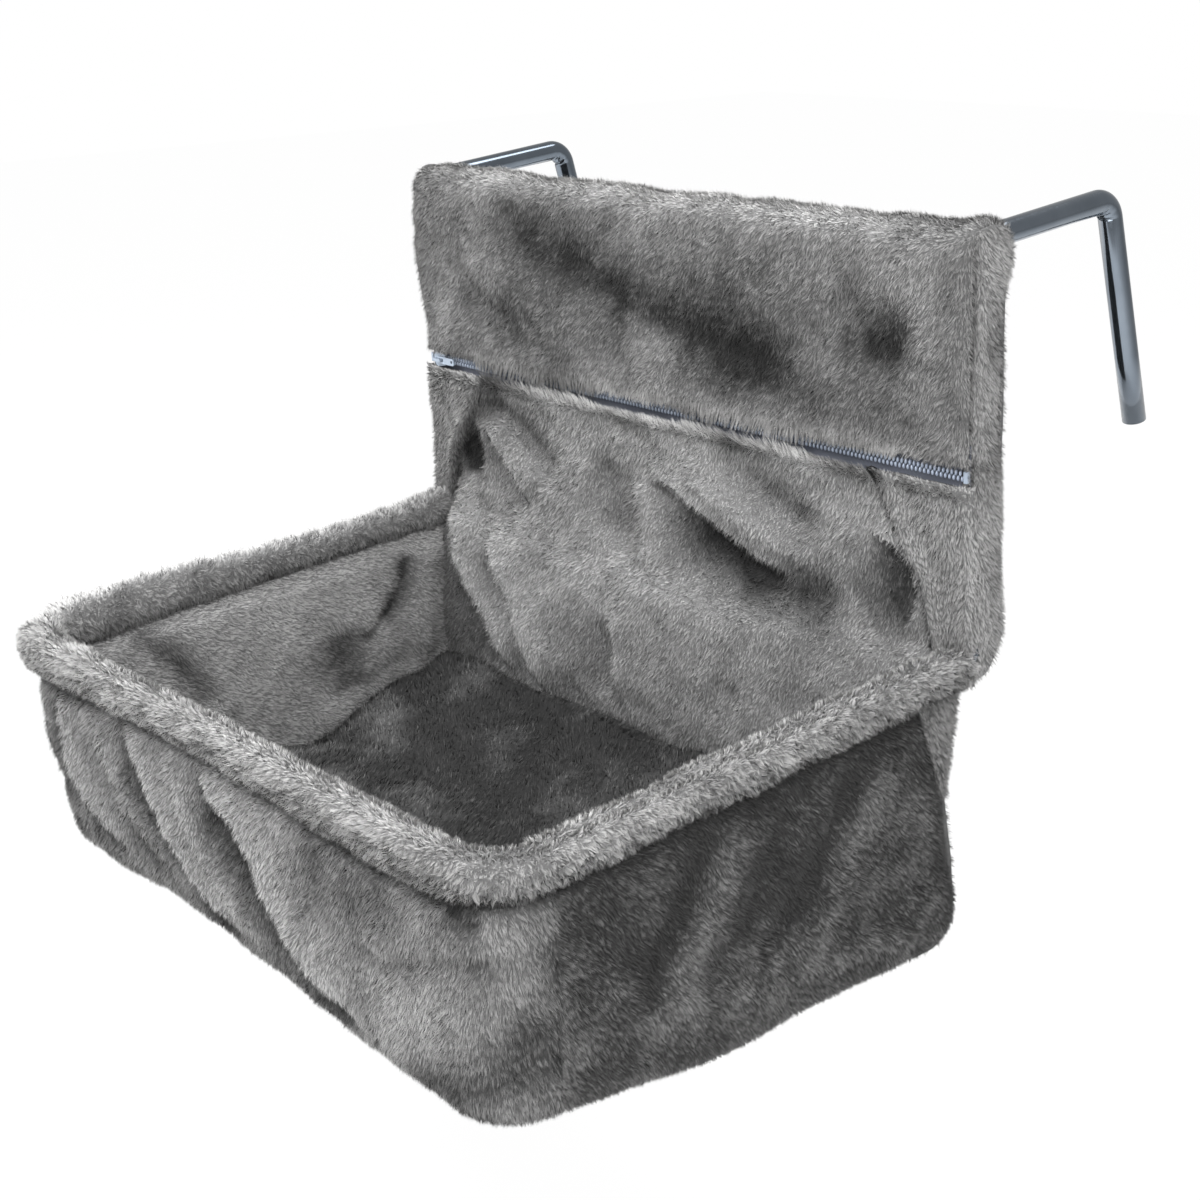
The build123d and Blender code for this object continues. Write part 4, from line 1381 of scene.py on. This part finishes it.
# %% Levels, folds and patches of the back lining
slack_levels = (
    # height over the rim corner, reach at the edges, reach in the middle, half width
    (89.8, 22.6, 22.6, 153.0),
    (80.7, 20.4, 20.4, 160.0),
    (62.0, 16.0, 20.0, 182.0),
    (42.0, 14.5, 21.5, 198.0),
    (20.0, 11.0, 23.5, 203.0),
    (5.0, 13.0, 27.0, 203.0),
    (-9.0, 25.0, 33.0, 200.0),
    (-64.0, 33.0, 38.0, 199.0),
    (-103.0, 31.0, 34.0, 196.0),
    (-140.0, 27.0, 29.0, 194.5),
)
slack_folds = (
    ([(-172, -128), (-146, -132), (-122, -144), (-100, -158), (-90, -170)], -7.0, 9, 8),
    ([(-150, -140), (-126, -154), (-104, -174)], 4.0, 8, 8),
    ([(-62, -148), (-36, -158), (-26, -176), (-40, -196)], -7.0, 14, 14),
    ([(-15, -150), (-12, -175), (-4, -200)], 4.0, 9, 9),
    ([(34, -126), (62, -134), (90, -146), (120, -158)], -6.5, 9, 8),
    ([(10, -138), (50, -150), (90, -166), (130, -170)], 4.0, 8, 8),
    ([(-198, -206), (-178, -200), (-160, -206)], 6.0, 10, 10),
    ([(-40, -208), (40, -206), (110, -208), (150, -206)], 4.0, 12, 18),
    ([(30, -166), (70, -184), (104, -190), (138, -186)], -5.0, 12, 12),
    ([(56, -249), (80, -256)], -3.5, 8, 8),
    ([(116, -204), (140, -214), (160, -214)], -3.0, 8, 8),
)
slack_pleats = (
    ([(-164, -140), (-148, -150), (-132, -164), (-120, -175), (-110, -186)], 9.0, 10, 12),
    ([(-168, -142), (-161, -154), (-159, -168), (-163, -182), (-172, -192)], 9.0, 8, 24),
    ([(-18, -150), (4, -147), (22, -151), (50, -162), (78, -174), (104, -181)], 8.0, 12, 20),
    ([(150, -142), (170, -149), (182, -158), (186, -170), (184, -184), (172, -200)], 6.5, 10, 20),
    ([(-192, -214), (-178, -228), (-165, -244), (-148, -258), (-134, -274), (-120, -290)],
     13.0, 12, 14),
    ([(-154, -210), (-134, -228), (-120, -242), (-108, -260), (-96, -278), (-84, -298)],
     14.0, 14, 15),
    ([(-28, -228), (-20, -252), (-18, -280)], 5.0, 14, 22),
)
# Patches on the back lining: painted shade in the recesses beside the strips and along fold
# hollows, lighter broad bands, and brushed places: a line, how much lighter or darker, and its
# width on either side
slack_patches = (
    ([(-198, -148), (-182, -158), (-174, -178)], -0.75, 17, 12),
    ([(0, -160), (40, -175), (80, -188), (112, -192), (146, -186)], -0.46, 16, 15),
    ([(160, -150), (170, -166), (168, -184), (156, -198)], -0.34, 14, 18),
    ([(-120, -130), (-60, -132), (0, -134), (60, -140)], 0.26, 13, 13),
    ([(-206, -244), (-176, -266), (-150, -286)], -0.26, 18, 16),
    ([(-60, -156), (-36, -164), (-30, -184)], -0.16, 16, 16),
    ([(-56, -238), (-40, -262), (-36, -284)], -0.10, 20, 14),
    ([(-152, -116), (-100, -118), (0, -118), (100, -120), (152, -122)], 0.32, 14, 20),
    ([(-172, -128), (-146, -132), (-122, -144), (-100, -158)], -0.12, 8, 8),
    ([(34, -126), (62, -134), (90, -146), (120, -158)], -0.14, 8, 8),
    ([(-100, -222), (-40, -216), (60, -216), (120, -222)], 0.12, 16, 18),
    ([(-100, -284), (0, -292), (60, -296)], -0.16, 8, 10),
)


# %% Back lining
def smooth_levels(levels, t):
    """The levels' columns as smooth curves down the lining."""
    levels = np.array(levels)
    marks = np.linspace(0, 1, len(levels))
    grid = np.linspace(0, 1, 400)
    for column in levels.T:
        line = np.pad(np.interp(grid, marks, column), 12, mode="edge")
        yield np.interp(t, grid, np.convolve(line, np.ones(25) / 25, "valid"))


def slack_place(s, t):
    height, edge, middle, half = smooth_levels(slack_levels, t)
    side = 2 * s - 1
    x = side * half
    reach = edge + (middle - edge) * (1 - side**2)
    points = np.stack([x, rim_corner[1] - reach - 3.6, rim_corner[2] + height], -1)
    points[:, 2] += floor_lift(x, points[:, 1]) * ease((t - 0.7) / 0.3)
    z = points[:, 2].copy()
    shift = folds(x, z, slack_folds) + pleats(x, z, slack_pleats, 4.2)
    shift = shift + 1.0 * wobble(points, 55, 111) + 0.5 * wobble(points, 22, 112)
    sewn = ease(t / 0.12) * (0.35 + 0.65 * ease((1 - np.abs(side)) / 0.08))
    points[:, 1] -= shift * sewn
    return points


def slack_shade(s, t, points):
    x, z = points[:, 0], points[:, 2]
    # Painted light on crests and painted shade in hollows of the folds and pleats
    creased = pleats(x, z, slack_pleats, 1.5)
    tone = 0.84 + 1.3 * 0.028 * folds(x, z, slack_folds)
    tone = tone + 0.064 * creased + 0.028 * np.minimum(creased, 0)
    return tone + 1.35 * folds(x, z, slack_patches)


back_lining = cloth("back_inner_wall", 190, 130, slack_place, slack_shade, (0, -1, 0), 1.5)
back_lining_pile = plant_pile(back_lining, 175000, lip_nap, seed=111)
lower_lip = plant_fringe(back_lining, 14000, 112, 0.62)
sew(back_lining, ["back_lining"])

# %% [markdown]
# ## Base cloth, board and floor cushion
# The base is a smooth dark cloth that carries a stiff board. The cushion on it is padded:
# crowned in the middle, low along its edges and drawn in between its corners. Its own
# wrinkles come from a short cloth simulation that inflates it a little.

# %% Base cloth and board
def floor_loop(s, half, front, rear, front_round, rear_round):
    """Places round a rounded rectangle, by the share of the way round from the front's middle."""
    turn = 2 * math.pi * s
    cx, cy = np.sin(turn), -np.cos(turn)
    middle, depth = (front + rear) / 2, (rear - front) / 2
    power = np.where(cy < 0, front_round, rear_round)
    size = (np.abs(cx) ** power + np.abs(cy) ** power) ** (-1 / power)
    return half * cx * size, middle + depth * cy * size


def disc_place(half, front, rear, height, thickness):
    """Flat rounded board or cloth that follows the base: its underside, then its top."""

    def place(s, t):
        ring = np.minimum(t * 2, 2 - t * 2)
        x, y = floor_loop(s, half, front, rear, 9.0, 12.0)
        middle = (front + rear) / 2
        x, y = x * ring, middle + (y - middle) * ring
        z = height + floor_lift(x, y) + np.where(t > 0.5, thickness, 0.0)
        return np.stack([x, y, z], -1)

    return place


def plain_tone(s, t, points):
    return 0.2


def make_disc(name, place, material):
    disc = cloth(name, 120, 24, place, plain_tone, None, 0, closed=True)
    disc.data.materials[0] = material
    return disc


place = disc_place(199.0, -334.0, -68.0, base_level - 1.6, 1.4)
base_cloth = make_disc("base_cloth", place, base_weave)
stand_for(base_cloth, ["base_panel"])

place = disc_place(193.0, -329.0, -76.0, base_level + 0.2, 2.6)
board = make_disc("stiff_board", place, hardboard)
stand_for(board, ["pad_board"])

# %% Shape of the floor cushion
pad_half, pad_front, pad_rear = 190.0, -327.0, -80.0
pad_foot = base_level + 3.4
cushion_folds = (
    ([(-48, -88), (-20, -126), (6, -166), (28, -214)], -7.0, 8, 14),
    ([(-118, -150), (-84, -172), (-40, -226)], -3.5, 12, 12),
    ([(-186, -96), (-158, -120), (-140, -150)], -3.0, 10, 10),
    ([(60, -90), (96, -150), (110, -220)], 3.0, 20, 20),
    ([(-160, -240), (-100, -262), (-20, -268)], 2.5, 16, 16),
)
# Share of the pad's half size, from the middle of its top over its edge to its foot
ring_marks = (0, 0.40, 0.46, 0.5, 0.54, 0.60, 1.0)
ring_sizes = (0, 0.88, 0.975, 0.99, 0.98, 0.94, 0)


def cushion_place(s, t):
    """Closed pad: its back lies higher, and its crown is flatter there."""
    x, y = floor_loop(s, pad_half, pad_front, pad_rear, 10.0, 14.0)
    middle = (pad_front + pad_rear) / 2
    ring = np.interp(t, ring_marks, ring_sizes)
    x, y = x * ring, middle + (y - middle) * ring
    rise = np.interp(y, (-330, -194, -84, -70), (0, 3, 51, 53))
    crown = pad_foot + 22.0 + rise + (16.0 - 0.2 * rise) * (1 - ring**2.6)
    low = pad_foot + 0.3 * rise
    side = np.interp(t, (0, 0.46, 0.5, 0.54, 1.0), (1.0, 0.88, 0.5, 0.1, 0.0))
    z = between(low, crown, side) + floor_lift(x, y)
    return np.stack([x, y, z], -1)


# %% Swelling
def applied(pad, modifier):
    """The pad's mesh with its modifier, which is then removed."""
    depsgraph = bpy.context.evaluated_depsgraph_get()
    mesh = bpy.data.meshes.new_from_object(pad.evaluated_get(depsgraph))
    pad.modifiers.remove(modifier)
    return mesh


def swell(pad, farthest=6.0):
    """Remesh the pad and inflate it a little by a cloth simulation of 20 frames."""
    voxels = pad.modifiers.new("voxels", "REMESH")
    voxels.mode = "VOXEL"
    voxels.voxel_size = 5 * MM
    pad.data = applied(pad, voxels)
    start = read(pad.data.vertices, "co")

    fabric = pad.modifiers.new("swell", "CLOTH")
    fabric.settings.quality = 4
    fabric.settings.use_pressure = True
    fabric.settings.uniform_pressure_force = 4.0
    fabric.settings.effector_weights.gravity = 0.0
    fabric.settings.tension_stiffness = 12.0
    fabric.settings.bending_stiffness = 0.4
    for step in range(1, 21):
        bpy.context.scene.frame_set(step)
    move = read(applied(pad, fabric).vertices, "co") - start
    far = np.linalg.norm(move, axis=1, keepdims=True)
    move *= np.minimum(1.0, farthest * MM / np.maximum(far, 1e-9))
    pad.data.vertices.foreach_set("co", (start + move).ravel())
    bpy.context.scene.frame_set(1)
    print("cushion swelled by up to", round(float(far.max() / MM), 1), "mm")


# %% Floor cushion
def make_cushion():
    pad = cloth("floor_cushion", 120, 70, cushion_place, plain_tone, None, 0, closed=True)
    swell(pad)
    mesh = pad.data
    places = read(mesh.vertices, "co") / MM
    x, y, z = places.T
    top = ease((z - pad_foot - 14) / 14)
    shift = folds(x, y, cushion_folds)
    shift = shift + 1.2 * wobble(places, 60, 121) + 0.6 * wobble(places, 20, 122)
    places[:, 2] += shift * top
    low = base_level + 3.0 + floor_lift(places[:, 0], places[:, 1])
    places[:, 2] = np.maximum(places[:, 2], low)
    places[:, 0] = np.clip(places[:, 0], -192.0, 192.0)
    places[:, 1] = np.clip(places[:, 1], -330.0, -76.0)
    mesh.vertices.foreach_set("co", (places * MM).ravel())

    # Painted shade in the diagonal crease, painted light beside it, a lighter line along the top
    # of the left edge's piping, and tone that follows the height of the folds
    crease_shade = fold(x, y, [(-30, -110), (10, -160), (34, -220)], 1.0, 14, 16)
    ridge_light = fold(x, y, [(-70, -96), (-30, -140), (0, -190)], 1.0, 14, 10)
    piping_line = fold(x, y, [(-187, -202), (-187, -168)], 1.0, 2.5, 2.5) * (z > pad_foot + 12)
    tone = 0.02 + 0.07 * wobble(places, 75, 124) - 0.10 * crease_shade + 0.10 * ridge_light + 0.6 * piping_line
    if "tone" not in mesh.attributes:
        mesh.attributes.new("tone", "FLOAT", "POINT")
    mesh.attributes["tone"].data.foreach_set("value", np.clip(tone + 0.03 * shift, -0.35, 1))
    for polygon in mesh.polygons:
        polygon.use_smooth = True
    mesh.update()
    if not mesh.materials:
        mesh.materials.append(plush_back)
    return pad


cushion = make_cushion()
cushion_pile = plant_pile(cushion, 85000, (0.2, 0.5, -0.1), seed=121, length=3.2, width=0.44,
                          share=lambda root: root[:, 2] > pad_foot + 6)
stand_for(cushion, ["floor_pad"])

# %% [markdown]
# ## Zip
# The zip lies in the slot between the upper panel and the slack lining. Its tapes keep their
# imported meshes. Each coil is a row of small rounded teeth, copied along the zip, and the teeth
# of the two rows lock into each other.

# %% Zip
zip_height = 95.7
zip_half = 211.0
tooth_pitch = 2.6

tooth_size = (0.62, 1.55, 1.05)


def make_coil(sign, name):
    """Row of teeth above or below the zip's middle, half a pitch from the other row."""
    bm = bmesh.new()
    count = int(2 * zip_half / tooth_pitch)
    offset = 0.0 if sign > 0 else tooth_pitch / 2
    centre = pocket_foot + pocket_up * (zip_height + sign * 1.25) + pocket_out * 1.25
    turn = Matrix((across, pocket_up, pocket_out)).transposed().to_4x4()
    size = Matrix.Diagonal((*tooth_size, 1.0))
    for index in range(count):
        x = -zip_half + 1.5 + offset + index * tooth_pitch
        place = Matrix.Translation(Vector(centre + across * x)) @ turn
        bmesh.ops.create_uvsphere(bm, u_segments=8, v_segments=5, radius=1.0, matrix=place @ size)
    print(name, "teeth:", count)
    return add_mesh(name, bm, zip_coil_plastic, MM)


for sign, hand in ((1, "upper"), (-1, "lower")):
    coil = make_coil(sign, f"{hand}_teeth")
    stand_for(coil, [f"{hand}_coil"])
    give(f"{hand}_tape", shaded_zip_tape)
for node in ("left_end_stop", "right_end_stop", "zip_slider", "zip_pull"):
    give(node, painted_zip_metal)

# %% [markdown]
# ## Light and surroundings
# The photograph is a plain packshot on white, lit softly from above and the left. The floor
# is far below, because the bed hangs, and it takes only a faint shadow.

# %% Floor and world
def make_floor():
    bm = bmesh.new()
    place = Matrix.Translation((0, 0, -0.55))
    bmesh.ops.create_grid(bm, x_segments=1, y_segments=1, size=6.0, matrix=place)
    finish = material("pale_floor")
    path = finish.add("ShaderNodeLightPath", output="Is Camera Ray")
    plain = finish.add("ShaderNodeBsdfPrincipled", {"Base Color": grey(0.80), "Roughness": 0.9})
    bright = finish.add("ShaderNodeEmission", {"Color": grey(1.0), "Strength": 1.02})
    mixed = finish.add("ShaderNodeMixShader", {0: path * 0.94, 1: plain, 2: bright})
    floor = add_mesh("floor", bm, finish.end(mixed))


def make_world():
    """White where the camera sees it, and softer as a light."""
    world = bpy.data.worlds.new("studio")
    bpy.context.scene.world = world
    sky = Nodes(world)
    through = sky.add("ShaderNodeLightPath", output="Is Transmission Ray")
    seen = sky.add("ShaderNodeLightPath", output="Is Camera Ray").math("MAXIMUM", through)
    soft = sky.add("ShaderNodeBackground", {"Color": grey(0.9), "Strength": 0.72})
    white = sky.add("ShaderNodeBackground", {"Color": grey(1.0), "Strength": 1.0})
    mixed = sky.add("ShaderNodeMixShader", {0: seen, 1: soft, 2: white})
    sky.end(mixed, "ShaderNodeOutputWorld")


make_floor()
make_world()


# %% Lamps
def add_lamp(name, place, aim, size, power):
    data = bpy.data.lights.new(name, "AREA")
    data.shape = "SQUARE"
    data.size = size
    data.energy = power
    way = Vector(aim) - Vector(place)
    turn = way.to_track_quat("-Z", "Y").to_matrix().to_4x4()
    add_object(name, data).matrix_world = Matrix.Translation(place) @ turn


bpy.context.scene.view_settings.view_transform = "Standard"
basket = (0.0, -0.18, -0.17)
add_lamp("key", (-0.75, -1.15, 1.25), basket, 0.9, 56.0)
add_lamp("fill", (1.3, -1.0, 0.5), basket, 1.2, 28.0)
add_lamp("top", (0.3, 0.3, 1.5), basket, 1.2, 32.0)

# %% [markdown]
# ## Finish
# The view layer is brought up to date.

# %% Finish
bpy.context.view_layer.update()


def plain(box):
    return [[float(value) for value in corner] for corner in box]
